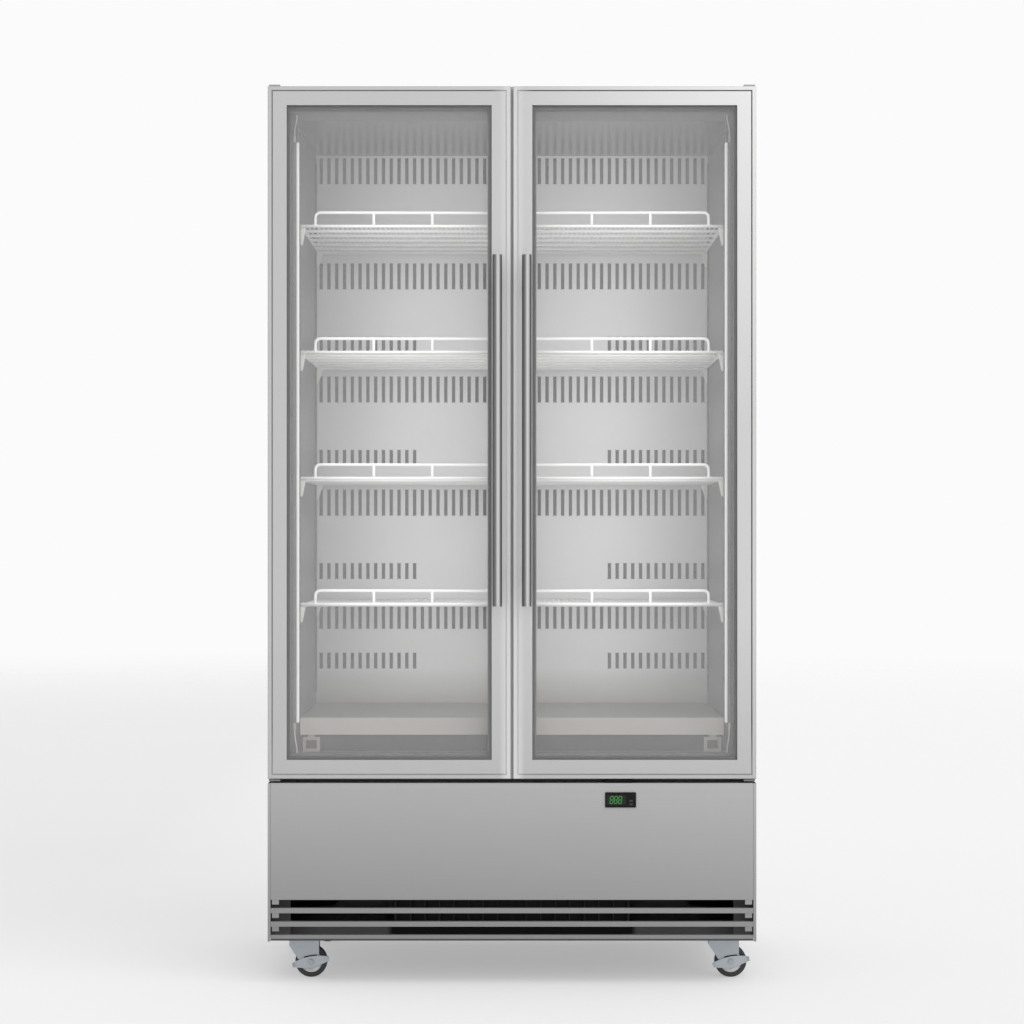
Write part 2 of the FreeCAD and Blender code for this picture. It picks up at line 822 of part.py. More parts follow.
def shelves(z):
    """The left and right wire shelves of one level."""
    ends = (shelf_inner_x, shelf_outer_x)
    pitch = (shelf_rear_y - shelf_front_y - FIRST_CROSS) / (CROSS_WIRES - 1)
    places = [shelf_front_y] + [shelf_front_y + FIRST_CROSS + i * pitch for i in range(CROSS_WIRES)]
    wires = [bar_along_x(ends, (y, z), SHELF_WIRE) for y in places]
    solids = []
    for piece in [shelf_mat(z), guard_rail(z)] + wires:
        solids += both_sides(piece)
    return group(*solids)


def floor_deck():
    """Deck sheet over the evaporator with its front lip folded down."""
    front = frame_y + DECK_SETBACK
    rear = duct_y - DECK_REAR_GAP
    edge = inner_x - DECK_SIDE_GAP
    profile = [
        (front, deck_z),
        (rear, deck_z),
        (rear, deck_z - DECK_LIP),
        (rear - DECK_SHEET, deck_z - DECK_LIP),
        (rear - DECK_SHEET, deck_z - DECK_SHEET),
        (front + DECK_SHEET, deck_z - DECK_SHEET),
        (front + DECK_SHEET, deck_z - DECK_LIP),
        (front, deck_z - DECK_LIP),
    ]
    return prism(on_yz(profile, -edge), Vector(2 * edge, 0, 0))


def deck_feet():
    """Looped front feet on the sill and plain rear legs in the well, under the deck."""
    under = deck_z - DECK_SHEET
    centre = inner_x - DECK_SIDE_GAP - FOOT_INSET - FOOT_WIDTH / 2
    front = frame_y + DECK_SETBACK + DECK_SHEET
    depth = (front, front + FOOT_DEPTH)
    middle = (centre, sill_z + FOOT_HEIGHT / 2)
    loop = rectangle(FOOT_WIDTH, FOOT_HEIGHT, middle)
    window = rectangle(FOOT_WIDTH - 2 * FOOT_BAR, FOOT_HEIGHT - 2 * FOOT_BAR, middle)
    foot = prism(on_xz(loop, front), Vector(0, FOOT_DEPTH, 0), [on_xz(window, front)])
    neck_x = (centre - FOOT_NECK / 2, centre + FOOT_NECK / 2)
    foot = joined(foot, block(neck_x, depth, (sill_z + FOOT_HEIGHT, under)))
    rear = duct_y - DECK_REAR_GAP - DECK_SHEET
    leg = block(neck_x, (rear - FOOT_DEPTH, rear), (well_z, under))
    return group(*both_sides(foot), *both_sides(leg))


def led_plan():
    """The light's section: where it meets the flared wall, and the diffuser's two X edges."""
    y = body_y + LED_INSET
    near, far = y - LED_DEPTH / 2, y + LED_DEPTH / 2
    wall = [(inner_x + flare_offset(near), near), (inner_x + flare_offset(far), far)]
    tip = inner_x + flare_offset(y) - LED_STAND
    return near, far, wall, tip


def led_lights():
    """Vertical light on each slanted reveal: a holder on the wall and a rounded diffuser."""
    near, far, wall, tip = led_plan()
    middle = tip + LED_WIDTH
    height = Vector(0, 0, led_top - led_bottom)
    holder = prism(on_xy([(middle, near)] + wall + [(middle, far)], led_bottom), height)
    shoulder = tip + LED_WIDTH / 2
    a, b = on_xy([(middle, near), (shoulder, near)], led_bottom)
    c, d = on_xy([(shoulder, far), (middle, far)], led_bottom)
    crown = Vector(tip, (near + far) / 2, led_bottom)
    edges = [Part.LineSegment(a, b), Part.Arc(b, crown, c), Part.LineSegment(c, d), Part.LineSegment(d, a)]
    diffuser = Part.Face(Part.Wire([edge.toShape() for edge in edges])).extrude(height)
    return group(*both_sides(holder), *both_sides(diffuser))


def led_leads():
    """Short supply leads from the ceiling and the sill to a plug at each end of the lights."""
    near, far, wall, tip = led_plan()
    y = (near + far) / 2
    x = tip + LED_WIDTH - PLUG_SIZE / 2
    ceiling = ceiling_z + flare_offset(y + LEAD_DIAMETER / 2)
    leads = []
    for end, stop, way in ((led_top, ceiling, 1), (led_bottom, sill_z, -1)):
        plug_end = end + way * PLUG_LENGTH
        foot = on_xy(rectangle(PLUG_SIZE, PLUG_SIZE, (x, y)), end)
        plug = prism(foot, Vector(0, 0, plug_end - end))
        points = [
            Vector(x, y, plug_end),
            Vector(x, y, plug_end + way * LEAD_STRAIGHT),
            Vector(x - LEAD_STEP, y, stop - way * LEAD_STRAIGHT),
            Vector(x - LEAD_STEP, y, stop),
        ]
        lead = bent_tube(points, LEAD_BEND, LEAD_DIAMETER, 4)
        leads += both_sides(plug) + both_sides(lead)
    return group(*leads)


def mitred(section, x, z, hollow=None):
    """Four members with a common section, mitred at the corners of a rectangle; u runs inwards."""
    reach = max(u for u, v in section)
    corners = [(x[0], z[0]), (x[1], z[0]), (x[1], z[1]), (x[0], z[1])]
    inner = [
        (x[0] + reach, z[0] + reach),
        (x[1] - reach, z[0] + reach),
        (x[1] - reach, z[1] - reach),
        (x[0] + reach, z[1] - reach),
    ]
    places = [
        (lambda u, v: Vector(x[0], v, z[0] + u), Vector(x[1] - x[0], 0, 0)),
        (lambda u, v: Vector(x[1] - u, v, z[0]), Vector(0, 0, z[1] - z[0])),
        (lambda u, v: Vector(x[0], v, z[1] - u), Vector(x[1] - x[0], 0, 0)),
        (lambda u, v: Vector(x[0] + u, v, z[0]), Vector(0, 0, z[1] - z[0])),
    ]
    low = min(v for u, v in section)
    depth = max(v for u, v in section) - low
    members = []
    for i, (place, run) in enumerate(places):
        holes = [[place(u, v) for u, v in hollow]] if hollow else []
        member = prism([place(u, v) for u, v in section], run, holes)
        j = (i + 1) % 4
        trim = prism(on_xz([corners[i], corners[j], inner[j], inner[i]], low), Vector(0, depth, 0))
        members.append(member.common(trim))
    return members


def door_x():
    """Inner and outer edges of the right-hand door."""
    return (DOOR_GAP / 2, half_width)


def door_frame():
    """Mitred extrusions with a shadow groove, glazing pocket and gasket groove, and the hinge bushes."""
    front, back = door_y, door_back_y
    groove_u = LIP_WIDTH + GROOVE[0]
    pocket = FRAME_FACE - GLASS_BITE
    pocket_front = front + GLASS_FLANGE
    pocket_back = pocket_front + 2 * PANE + PANE_GAP
    dart_u = GASKET_INSET + (GASKET_WIDTH - GASKET_DART[0]) / 2
    section = [
        (0, front + FRAME_CHAMFER),
        (FRAME_CHAMFER, front),
        (LIP_WIDTH, front),
        (LIP_WIDTH, front + GROOVE[1]),
        (groove_u, front + GROOVE[1]),
        (groove_u, front),
        (FRAME_FACE, front),
        (FRAME_FACE, pocket_front),
        (pocket, pocket_front),
        (pocket, pocket_back),
        (FRAME_FACE, pocket_back),
        (FRAME_FACE, pocket_back + GLASS_FLANGE),
        (pocket + GLASS_FLANGE, back),
        (dart_u + GASKET_DART[0], back),
        (dart_u + GASKET_DART[0], back - GASKET_DART[1]),
        (dart_u, back - GASKET_DART[1]),
        (dart_u, back),
        (0, back),
    ]
    wall = FRAME_WALL
    hollow_front = front + GROOVE[1] + wall
    hollow_back = back - GASKET_DART[1] - wall
    hollow = [
        (wall, hollow_front),
        (pocket - wall, hollow_front),
        (pocket - wall, hollow_back),
        (wall, hollow_back),
    ]
    members = mitred(section, door_x(), (door_bottom, door_top), hollow)
    hole = PIN_DIAMETER + 2 * BUSH_GAP
    for i, z in ((0, door_bottom), (2, door_top - wall)):
        members[i] = members[i].cut(rod(Vector(pin_x, pin_y, z), AXIS_Z, hole, wall))
    low = door_bottom + wall
    high = door_top - wall - BUSH_LENGTH
    return members + [hinge_bush(low), hinge_bush(high)]


def hinge_bush(z):
    """Nylon block inside the hinge corner of the frame, bored for the pin."""
    x = (pin_x - BUSH_WIDTH / 2, pin_x + BUSH_WIDTH / 2)
    y = (pin_y - BUSH_WIDTH / 2, pin_y + BUSH_WIDTH / 2)
    bush = block(x, y, (z, z + BUSH_LENGTH))
    return bush.cut(rod(Vector(pin_x, pin_y, z), AXIS_Z, PIN_DIAMETER + 2 * PIN_CLEARANCE, BUSH_LENGTH))


def glass_window(inset):
    """Ends in X and Z of the glass opening of the right-hand door, drawn in by inset."""
    x0, x1 = door_x()
    margin = FRAME_FACE + inset
    return (x0 + margin, x1 - margin), (door_bottom + margin, door_top - margin)


def door_glass():
    """Outer and inner pane of the insulated glass unit."""
    x, z = glass_window(GLAZING_GAP - GLASS_BITE)
    outer = door_y + GLASS_FLANGE
    inner = outer + PANE + PANE_GAP
    return [block(x, (y, y + PANE), z) for y in (outer, inner)]


def door_spacer():
    """Dark spacer between the panes, seen round the edge of the glass."""
    depth = (door_y + GLASS_FLANGE + PANE, door_y + GLASS_FLANGE + PANE + PANE_GAP)
    outer = block(*ordered(glass_window(GLAZING_GAP + SPACER_INSET - GLASS_BITE), depth))
    inner = block(*ordered(glass_window(SPACER_SIGHT), depth))
    return [outer.cut(inner)]


def ordered(window, depth):
    """Put a window's X and Z ends and a depth in X, Y, Z order."""
    return window[0], depth, window[1]


def door_gasket():
    """Mitred magnetic gasket strips with a dart that sits in the frame's groove."""
    u0, u1 = GASKET_INSET, GASKET_INSET + GASKET_WIDTH
    dart = u0 + (GASKET_WIDTH - GASKET_DART[0]) / 2
    base = door_back_y
    lip = GASKET_DEPTH / 3
    section = [
        (dart, base - GASKET_DART[1]),
        (dart + GASKET_DART[0], base - GASKET_DART[1]),
        (dart + GASKET_DART[0], base),
        (u1, base),
        (u1 - lip, base + lip),
        (u1, base + 2 * lip),
        (u1, base + GASKET_DEPTH),
        (u0, base + GASKET_DEPTH),
        (u0, base + 2 * lip),
        (u0 + lip, base + lip),
        (u0, base),
        (dart, base),
    ]
    return mitred(section, door_x(), (door_bottom, door_top))


def door_handle():
    """Straight round bar on two stand-offs, near the free edge of the right-hand door."""
    x = DOOR_GAP / 2 + HANDLE_INSET
    y = door_y - HANDLE_REACH + HANDLE_DIAMETER / 2
    low = door_bottom + HANDLE_BOTTOM
    bar = rod(Vector(x, y, low), AXIS_Z, HANDLE_DIAMETER, HANDLE_LENGTH)
    posts = []
    for z in (low + HANDLE_POST_INSET, low + HANDLE_LENGTH - HANDLE_POST_INSET):
        post = rod(Vector(x, y, z), AXIS_Y, HANDLE_POST, door_y - y)
        posts.append(post.cut(bar))
    return [bar] + posts


def hinge_brackets():
    """Lower brackets with a pin that carries each door, and upper plates with the guide pin."""
    x = (pin_x - HINGE_WIDTH / 2, pin_x + HINGE_WIDTH / 2)
    nose = pin_y - HINGE_NOSE
    plate_top = door_bottom - HINGE_PLAY
    plate_low = plate_top - HINGE_PLATE
    plate = block(x, (nose, frame_y), (plate_low, plate_top))
    leg = block(x, (frame_y - HINGE_PLATE, frame_y), (plate_top - HINGE_DROP, plate_top))
    pin = rod(Vector(pin_x, pin_y, plate_low), AXIS_Z, PIN_DIAMETER, door_bottom + PIN_ENTRY - plate_low)
    lower = joined(plate, leg, pin)
    top = (body_top, body_top + HINGE_TOP_PLATE)
    plate = block(x, (nose, frame_y + HINGE_REACH_BACK), top)
    low = door_top - PIN_ENTRY
    pin = rod(Vector(pin_x, pin_y, low), AXIS_Z, PIN_DIAMETER, top[1] - low)
    upper = joined(plate, pin)
    return group(*both_sides(lower), *both_sides(upper))


def rounded_plate(width, height, corner, centre, y, depth):
    """An upright plate with rounded corners."""
    plate = prism(on_xz(rectangle(width, height, centre), y), Vector(0, depth, 0))
    edges = [edge for edge in plate.Edges if abs(edge.tangentAt(edge.FirstParameter).y) > 0.9]
    return plate.makeFillet(corner, edges)


def key_places():
    return [(CONTROLLER_X + KEY_SHIFT, controller_z - drop) for drop in KEY_DROPS]


def key_hole(place):
    width, height = (size + 2 * KEY_GAP for size in KEY)
    hole = on_xz(rectangle(width, height, place), door_y - BEZEL_DEPTH)
    return prism(hole, Vector(0, BEZEL_DEPTH + CONTROLLER_WALL, 0))


def lens_place():
    return (CONTROLLER_X - LENS_SHIFT, controller_z)


def controller_housing():
    """Bezel on the panel with a hollow body behind it, a lens recess and two key holes."""
    centre = (CONTROLLER_X, controller_z)
    front = door_y - BEZEL_DEPTH
    bezel = rounded_plate(*BEZEL, BEZEL_CORNER, centre, front, BEZEL_DEPTH)
    body = prism(on_xz(rectangle(*CONTROLLER_BODY, centre), door_y), Vector(0, CONTROLLER_DEPTH, 0))
    width, height = (size - 2 * CONTROLLER_WALL for size in CONTROLLER_BODY)
    inside = rectangle(width, height, centre)
    hollow_depth = CONTROLLER_DEPTH - 2 * CONTROLLER_WALL
    hollow = prism(on_xz(inside, door_y + CONTROLLER_WALL), Vector(0, hollow_depth, 0))
    housing = joined(bezel, body).cut(hollow)
    recess = prism(on_xz(rectangle(*LENS, lens_place()), front), Vector(0, LENS_DEPTH, 0))
    housing = housing.cut(recess)
    for place in key_places():
        housing = housing.cut(key_hole(place))
    return housing


def controller_lens():
    return prism(on_xz(rectangle(*LENS, lens_place()), door_y - BEZEL_DEPTH), Vector(0, LENS_DEPTH, 0))


def controller_key(place):
    corners = on_xz(rectangle(*KEY, place), door_y - BEZEL_DEPTH - KEY_PROUD)
    return prism(corners, Vector(0, KEY_DEPTH, 0))


def finned_coil(size, front, low, fins):
    """A coil block: fins that stand forward from a spine, between two end plates."""
    width, depth, height = size
    half = width / 2 - COIL_END_PLATE
    spine = front + depth - COIL_SPINE
    gap = (2 * half - COIL_FIN) / fins - COIL_FIN
    points = [(-half, front + depth), (half, front + depth)]
    for i in range(fins + 1):
        right = half - i * (gap + COIL_FIN)
        points += [(right, spine), (right, front), (right - COIL_FIN, front), (right - COIL_FIN, spine)]
    points = points[:2] + points[3:-1]
    pack = prism(on_xy(points, low), Vector(0, 0, height))
    plate = block((half, half + COIL_END_PLATE), (front, front + depth), (low, low + height))
    return group(pack, *both_sides(plate))


def fan_blade(centre, diameter, hub, hub_length, chord):
    """A fan wheel about the Y axis: a hub and pitched flat blades, bored for the shaft."""
    core = rod(centre, AXIS_Y, hub, hub_length)
    bore_diameter = SHAFT_DIAMETER + 2 * SHAFT_CLEARANCE
    tip = math.sqrt(diameter ** 2 - chord ** 2) / 2
    root = (hub + bore_diameter) / 4
    half = chord / 2
    corners = on_xz([(root, -root), (tip, -half), (tip, half), (root, root)])
    middle = centre + AXIS_Y * (hub_length / 2)
    blades = []
    for i in range(FAN_BLADES):
        blade = prism(corners, Vector(0, BLADE_SHEET, 0))
        blade.translate(Vector(0, -BLADE_SHEET / 2, 0))
        blade.rotate(Vector(0, 0, 0), AXIS_X, BLADE_PITCH)
        blade.rotate(Vector(0, 0, 0), AXIS_Y, 360.0 * i / FAN_BLADES)
        blade.translate(middle)
        blades.append(blade)
    bore = rod(centre, AXIS_Y, bore_diameter, hub_length)
    return joined(core, *blades).cut(bore)


def fan_plate(width, height, centre, hole):
    """An upright sheet with a round air opening; centre is the front face's middle."""
    corners = on_xz(rectangle(width, height, (centre.x, centre.z)), centre.y)
    sheet = prism(corners, Vector(0, SHROUD_SHEET, 0))
    return sheet.cut(rod(centre, AXIS_Y, hole, SHROUD_SHEET))


def fan_shroud():
    """Shroud plate behind the condenser with a round opening for the fan."""
    return fan_plate(SHROUD_WIDTH, CONDENSER[2], shroud_centre, FAN_DIAMETER + 2 * FAN_TIP_GAP)


def motor_on_arms(centre, motor, arm_reach, arm_y, shaft_from):
    """A motor along Y with its shaft to the front and a strap that runs up and down to the plate."""
    diameter, length = motor
    body = rod(centre, AXIS_Y, diameter, length)
    shaft = rod(Vector(centre.x, shaft_from, centre.z), AXIS_Y, SHAFT_DIAMETER, centre.y - shaft_from)
    solids = [shaft]
    strap_y = (centre.y, centre.y + SHROUD_SHEET)
    x = (centre.x - MOTOR_ARM / 2, centre.x + MOTOR_ARM / 2)
    for way in (-1, 1):
        tip = centre.z + way * arm_reach
        solids.append(block(x, strap_y, (centre.z, tip)))
        solids.append(block(x, (arm_y, strap_y[1]), (tip, tip - way * SHROUD_SHEET)))
    return joined(body, *solids)


def condenser_fan_motor():
    reach = FAN_DIAMETER / 2 + FAN_TIP_GAP + SHROUD_SHEET + MOTOR_ARM / 2
    motor = (MOTOR_DIAMETER, MOTOR_LENGTH)
    return motor_on_arms(motor_centre, motor, reach, shroud_centre.y + SHROUD_SHEET, fan_start.y)


def condenser_fan_blade():
    return fan_blade(fan_start, FAN_DIAMETER, FAN_HUB, FAN_HUB_LENGTH, FAN_CHORD)


def compressor():
    """Hermetic compressor shell on a foot plate with four rubber grommets."""
    radius = COMPRESSOR_DIAMETER / 2
    dome = COMPRESSOR_DOME
    base = COMPRESSOR_BASE
    foot = COMPRESSOR_FOOT
    plate_z = tray_z + foot[1]
    low = plate_z + base[2]
    high = low + COMPRESSOR_HEIGHT
    x, y = compressor_centre
    points = [
        (0, low),
        (radius - dome, low),
        (radius, low + dome),
        (radius, high - dome),
        (radius - dome, high),
        (0, high),
    ]
    half = Part.Face(outline([Vector(x + r, y, z) for r, z in points]))
    shell = half.revolve(Vector(x, y, 0), AXIS_Z, 360)
    across, along, thick = base
    plate = block((x - across / 2, x + across / 2), (y - along / 2, y + along / 2), (plate_z, low))
    feet = []
    for u in (-1, 1):
        for v in (-1, 1):
            foot_x = x + u * (across - foot[0]) / 2
            foot_y = y + v * (along - foot[0]) / 2
            corners = on_xy(rectangle(foot[0], foot[0], (foot_x, foot_y)), tray_z)
            feet.append(prism(corners, Vector(0, 0, foot[1])))
    return group(shell, plate, *feet)


def pipe_port():
    """Square opening in the insulated floor for the suction pipe."""
    return prism(on_xy(rectangle(*PIPE_PORT, port_centre)), Vector(0, 0, sill_z))


def refrigerant_pipes():
    """Discharge pipe to the condenser, and suction pipe through the floor to the evaporator."""
    x, y = compressor_centre
    run_z = compressor_top + PIPE_RISE
    out_x = x - PIPE_SPREAD
    discharge = [
        Vector(out_x, y, compressor_top),
        Vector(out_x, y, run_z),
        Vector(out_x, condenser_front_y + CONDENSER[1], run_z),
    ]
    port_x, port_y = port_centre
    coil_y = evaporator_front_y + EVAPORATOR[1] / 2
    coil_z = well_z + COIL_PIPE_RISE
    suction = [
        Vector(x, port_y, compressor_top),
        Vector(x, port_y, run_z),
        Vector(port_x, port_y, run_z),
        Vector(port_x, port_y, coil_z),
        Vector(port_x, coil_y, coil_z),
        Vector(-EVAPORATOR[0] / 2, coil_y, coil_z),
    ]
    return group(*[bent_tube(points, PIPE_BEND, PIPE_DIAMETER) for points in (discharge, suction)])


def evaporator_fan_motor():
    """Evaporator fan motor held by a strap on its orifice plate, which stands in the well."""
    width, height = EVAPORATOR_PLATE
    plate = fan_plate(width, height, evaporator_fan, EVAPORATOR_FAN_DIAMETER)
    reach = height / 2 - MOTOR_ARM / 4
    motor = motor_on_arms(
        evaporator_motor,
        EVAPORATOR_MOTOR,
        reach,
        evaporator_fan.y + SHROUD_SHEET,
        evaporator_fan_start.y,
    )
    return group(plate, motor)


def evaporator_fan_blade():
    diameter = EVAPORATOR_FAN_DIAMETER - 2 * FAN_TIP_GAP
    hub = (EVAPORATOR_HUB, EVAPORATOR_HUB_LENGTH)
    return fan_blade(evaporator_fan_start, diameter, *hub, EVAPORATOR_CHORD)


def caster_plate(x, y):
    """Top plate under the tray with the king pin."""
    top = BASE_HEIGHT
    width, depth, thick = CASTER_PLATE
    plate = block((x - width / 2, x + width / 2), (y - depth / 2, y + depth / 2), (top - thick, top))
    pin_low = crown_top - FORK_CROWN
    return joined(plate, rod(Vector(x, y, pin_low), AXIS_Z, KING_PIN, top - pin_low))


def caster_fork(x, y):
    """Pressed fork with its axle: a crown round the king pin and two cheeks that taper to the axle."""
    low = wheel_radius
    top = crown_top
    eye = FORK_FRONT - TRAIL
    toe = [
        (x - FORK_BACK, top),
        (x - FORK_BACK, top - FORK_CROWN),
        (x - FORK_BACK, wheel_radius * 2),
        (x + TRAIL - eye, low - eye / 2),
        (x + TRAIL, low - eye),
        (x + TRAIL + eye, low - eye / 2),
        (x + FORK_FRONT, low + eye / 2),
        (x + FORK_FRONT, top),
    ]
    cheek = prism(on_xz(toe, y + cheek_inside), Vector(0, FORK_PLATE, 0))
    other = prism(on_xz(toe, y - cheek_inside - FORK_PLATE), Vector(0, FORK_PLATE, 0))
    width = cheek_inside + FORK_PLATE
    crown = block((x - FORK_BACK, x + FORK_FRONT), (y - width, y + width), (top - FORK_CROWN, top))
    bore = rod(Vector(x, y, top - FORK_CROWN), AXIS_Z, KING_PIN + 2 * PIN_CLEARANCE, FORK_CROWN)
    start = Vector(x + TRAIL, y - width - AXLE_STUB, low)
    axle = rod(start, AXIS_Y, AXLE_DIAMETER, 2 * (width + AXLE_STUB))
    return joined(cheek, other, crown, axle).cut(bore)


def caster_wheel(x, y):
    """Wheel with rounded shoulders, bored for the axle."""
    half = TREAD_WIDTH / 2
    bore = AXLE_DIAMETER / 2 + PIN_CLEARANCE
    section = [
        (bore, -half),
        (wheel_radius - TREAD_SHOULDER, -half),
        (wheel_radius, TREAD_SHOULDER - half),
        (wheel_radius, half - TREAD_SHOULDER),
        (wheel_radius - TREAD_SHOULDER, half),
        (bore, half),
    ]
    axis_point = Vector(x + TRAIL, y, wheel_radius)
    face = Part.Face(outline([axis_point + Vector(r, v, 0) for r, v in section]))
    return face.revolve(axis_point, AXIS_Y, 360)


def brake_lever(x, y):
    """Lens-shaped side brake lever on the axle with a pedal folded out at each end."""
    front = y - cheek_inside - FORK_PLATE - LEVER_GAP - LEVER_PLATE
    half = LEVER_LENGTH / 2
    tip = LEVER_END / 2
    rise = LEVER_HEIGHT / 2
    top = [Vector(-half, front, tip), Vector(0, front, rise), Vector(half, front, tip)]
    bottom = [Vector(half, front, -tip), Vector(0, front, -rise), Vector(-half, front, -tip)]
    edges = [
        Part.Arc(*top),
        Part.LineSegment(top[2], bottom[0]),
        Part.Arc(*bottom),
        Part.LineSegment(bottom[2], top[0]),
    ]
    plate = Part.Face(Part.Wire([edge.toShape() for edge in edges])).extrude(Vector(0, LEVER_PLATE, 0))
    pedal = block((half - LEVER_PLATE, half), (front - LEVER_PEDAL, front), (-tip, tip))
    lever = joined(plate, *both_sides(pedal))
    bore = rod(Vector(0, front, 0), AXIS_Y, AXLE_DIAMETER + 2 * PIN_CLEARANCE, LEVER_PLATE)
    lever = lever.cut(bore)
    lever.rotate(Vector(0, 0, 0), AXIS_Y, -LEVER_TILT)
    lever.translate(Vector(x + TRAIL, 0, wheel_radius))
    return lever


# Places that follow from the pieces above
panel_x = half_width - CHEEK_BAND - PANEL_SIDE_GAP
lowest_slat_top = panel_bottom + LOWEST_SLAT
slot_top = lowest_slat_top + SLOT_COUNT * SLOT_HEIGHT + (SLOT_COUNT - 1) * SLAT_HEIGHT
controller_z = panel_top - CONTROLLER_DROP
mullion_back_y = frame_y + MULLION_DEPTH
led_bottom = sill_z + LED_LOW
led_top = ceiling_z - LED_HIGH
caster_x = half_width - CASTER_INSET
caster_front_y = frame_y + CASTER_FRONT
caster_rear_y = rear_y - CASTER_REAR
crown_top = BASE_HEIGHT - CASTER_PLATE[2] - FORK_GAP
cheek_inside = TREAD_WIDTH / 2 + CHEEK_GAP
condenser_front_y = foam_front_y + TRAY_SHEET + CONDENSER_SETBACK
shroud_centre = Vector(0, condenser_front_y + CONDENSER[1], tray_z + CONDENSER[2] / 2)
fan_start = shroud_centre + AXIS_Y * FAN_RUN_GAP
motor_centre = fan_start + AXIS_Y * (FAN_HUB_LENGTH + FAN_RUN_GAP)
compressor_centre = (COMPRESSOR_X, frame_y + COMPRESSOR_SETBACK)
compressor_top = tray_z + COMPRESSOR_FOOT[1] + COMPRESSOR_BASE[2] + COMPRESSOR_HEIGHT
port_centre = (PIPE_PORT_X, compressor_centre[1] + PIPE_SPREAD)
evaporator_front_y = well_front_y + EVAPORATOR_SETBACK
evaporator_fan = Vector(0, duct_y - EVAPORATOR_FAN_SETBACK, well_z + EVAPORATOR_PLATE[1] / 2)
evaporator_fan_start = evaporator_fan - AXIS_Y * FAN_RUN_GAP
evaporator_motor = evaporator_fan_start + AXIS_Y * (EVAPORATOR_HUB_LENGTH + FAN_RUN_GAP)

right_side = side_panel()
nodes = {
    "left_side_panel": mirrored(right_side),
    "right_side_panel": right_side,
    "top_panel": top_panel(),
    "rear_panel": rear_panel(),
    "cabinet_floor_pan": cabinet_floor_pan(),
    "foam_insulation": foam_insulation(),
    "inner_liner": inner_liner(),
    "front_frame": front_frame(),
    "centre_mullion": centre_mullion(),
    "base_tray": base_tray(),
    "front_cheeks": front_cheeks(),
    "front_panel": front_panel(),
    "louvre_slats": louvre_slats(),
    "rear_grille": rear_grille(),
    "back_duct_panel": back_duct_panel(),
    "pilasters": pilasters(),
    "shelf_clips": shelf_clips(),
    "floor_deck": floor_deck(),
    "deck_feet": deck_feet(),
    "led_lights": led_lights(),
    "led_leads": led_leads(),
    "hinge_brackets": hinge_brackets(),
    "controller_housing": controller_housing(),
    "controller_lens": controller_lens(),
    "condenser_coil": finned_coil(CONDENSER, condenser_front_y, tray_z, CONDENSER_FINS),
    "fan_shroud": fan_shroud(),
    "condenser_fan_motor": condenser_fan_motor(),
    "condenser_fan_blade": condenser_fan_blade(),
    "compressor": compressor(),
    "refrigerant_pipes": refrigerant_pipes(),
    "evaporator_coil": finned_coil(EVAPORATOR, evaporator_front_y, well_z, EVAPORATOR_FINS),
    "evaporator_fan_motor": evaporator_fan_motor(),
    "evaporator_fan_blade": evaporator_fan_blade(),
}

for level, height in enumerate(shelf_heights(), start=1):
    nodes[f"shelves_level_{level}"] = shelves(height)

for name, place in zip(("upper_key", "lower_key"), key_places()):
    nodes[name] = controller_key(place)

door_pieces = {
    "frame": door_frame(),
    "glass": door_glass(),
    "spacer": door_spacer(),
    "gasket": door_gasket(),
    "handle": door_handle(),
}
for name, solids in door_pieces.items():
    nodes[f"right_door_{name}"] = group(*solids)
    nodes[f"left_door_{name}"] = group(*[mirrored(solid) for solid in solids])

plates = []
for end, y, braked in (("front", caster_front_y, True), ("rear", caster_rear_y, False)):
    for side, x in (("left", -caster_x), ("right", caster_x)):
        plates.append(caster_plate(x, y))
        nodes[f"{end}_{side}_caster_fork"] = caster_fork(x, y)
        nodes[f"{end}_{side}_caster_wheel"] = caster_wheel(x, y)
        if braked:
            nodes[f"{end}_{side}_brake_lever"] = brake_lever(x, y)
nodes["caster_plates"] = group(*plates)

os.makedirs("parts", exist_ok=True)
for name, shape in nodes.items():
    shape.exportStep(f"parts/{name}.step")
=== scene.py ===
import json
import math

import bpy
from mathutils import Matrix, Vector


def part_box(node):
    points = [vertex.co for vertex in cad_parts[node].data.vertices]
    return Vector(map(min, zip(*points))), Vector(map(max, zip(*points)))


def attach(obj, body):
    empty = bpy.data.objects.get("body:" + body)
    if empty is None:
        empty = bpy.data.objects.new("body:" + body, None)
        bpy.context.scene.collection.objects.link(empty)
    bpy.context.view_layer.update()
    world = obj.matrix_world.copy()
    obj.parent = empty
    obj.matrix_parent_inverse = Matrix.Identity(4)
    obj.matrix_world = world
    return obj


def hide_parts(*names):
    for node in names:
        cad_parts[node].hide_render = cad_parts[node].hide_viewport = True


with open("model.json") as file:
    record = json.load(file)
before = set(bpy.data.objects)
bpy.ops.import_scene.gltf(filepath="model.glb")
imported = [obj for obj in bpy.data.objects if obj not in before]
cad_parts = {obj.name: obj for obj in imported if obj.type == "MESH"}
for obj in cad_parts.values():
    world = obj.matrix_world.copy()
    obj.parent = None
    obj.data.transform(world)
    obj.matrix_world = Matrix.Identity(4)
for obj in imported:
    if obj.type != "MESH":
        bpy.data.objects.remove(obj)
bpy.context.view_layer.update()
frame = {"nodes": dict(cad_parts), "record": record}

# Looks of a glass door display fridge, in metres: X across, Y to the back, Z up from the floor.
nodes = frame["nodes"]

# Photograph's view
FRAME_PIXELS = 1024
HORIZON_ROW = 538
LENS_MM = 85.0
SENSOR_MM = 36.0
CAMERA_FROM_DOORS = 5.590
CAMERA_HEIGHT = 1.033

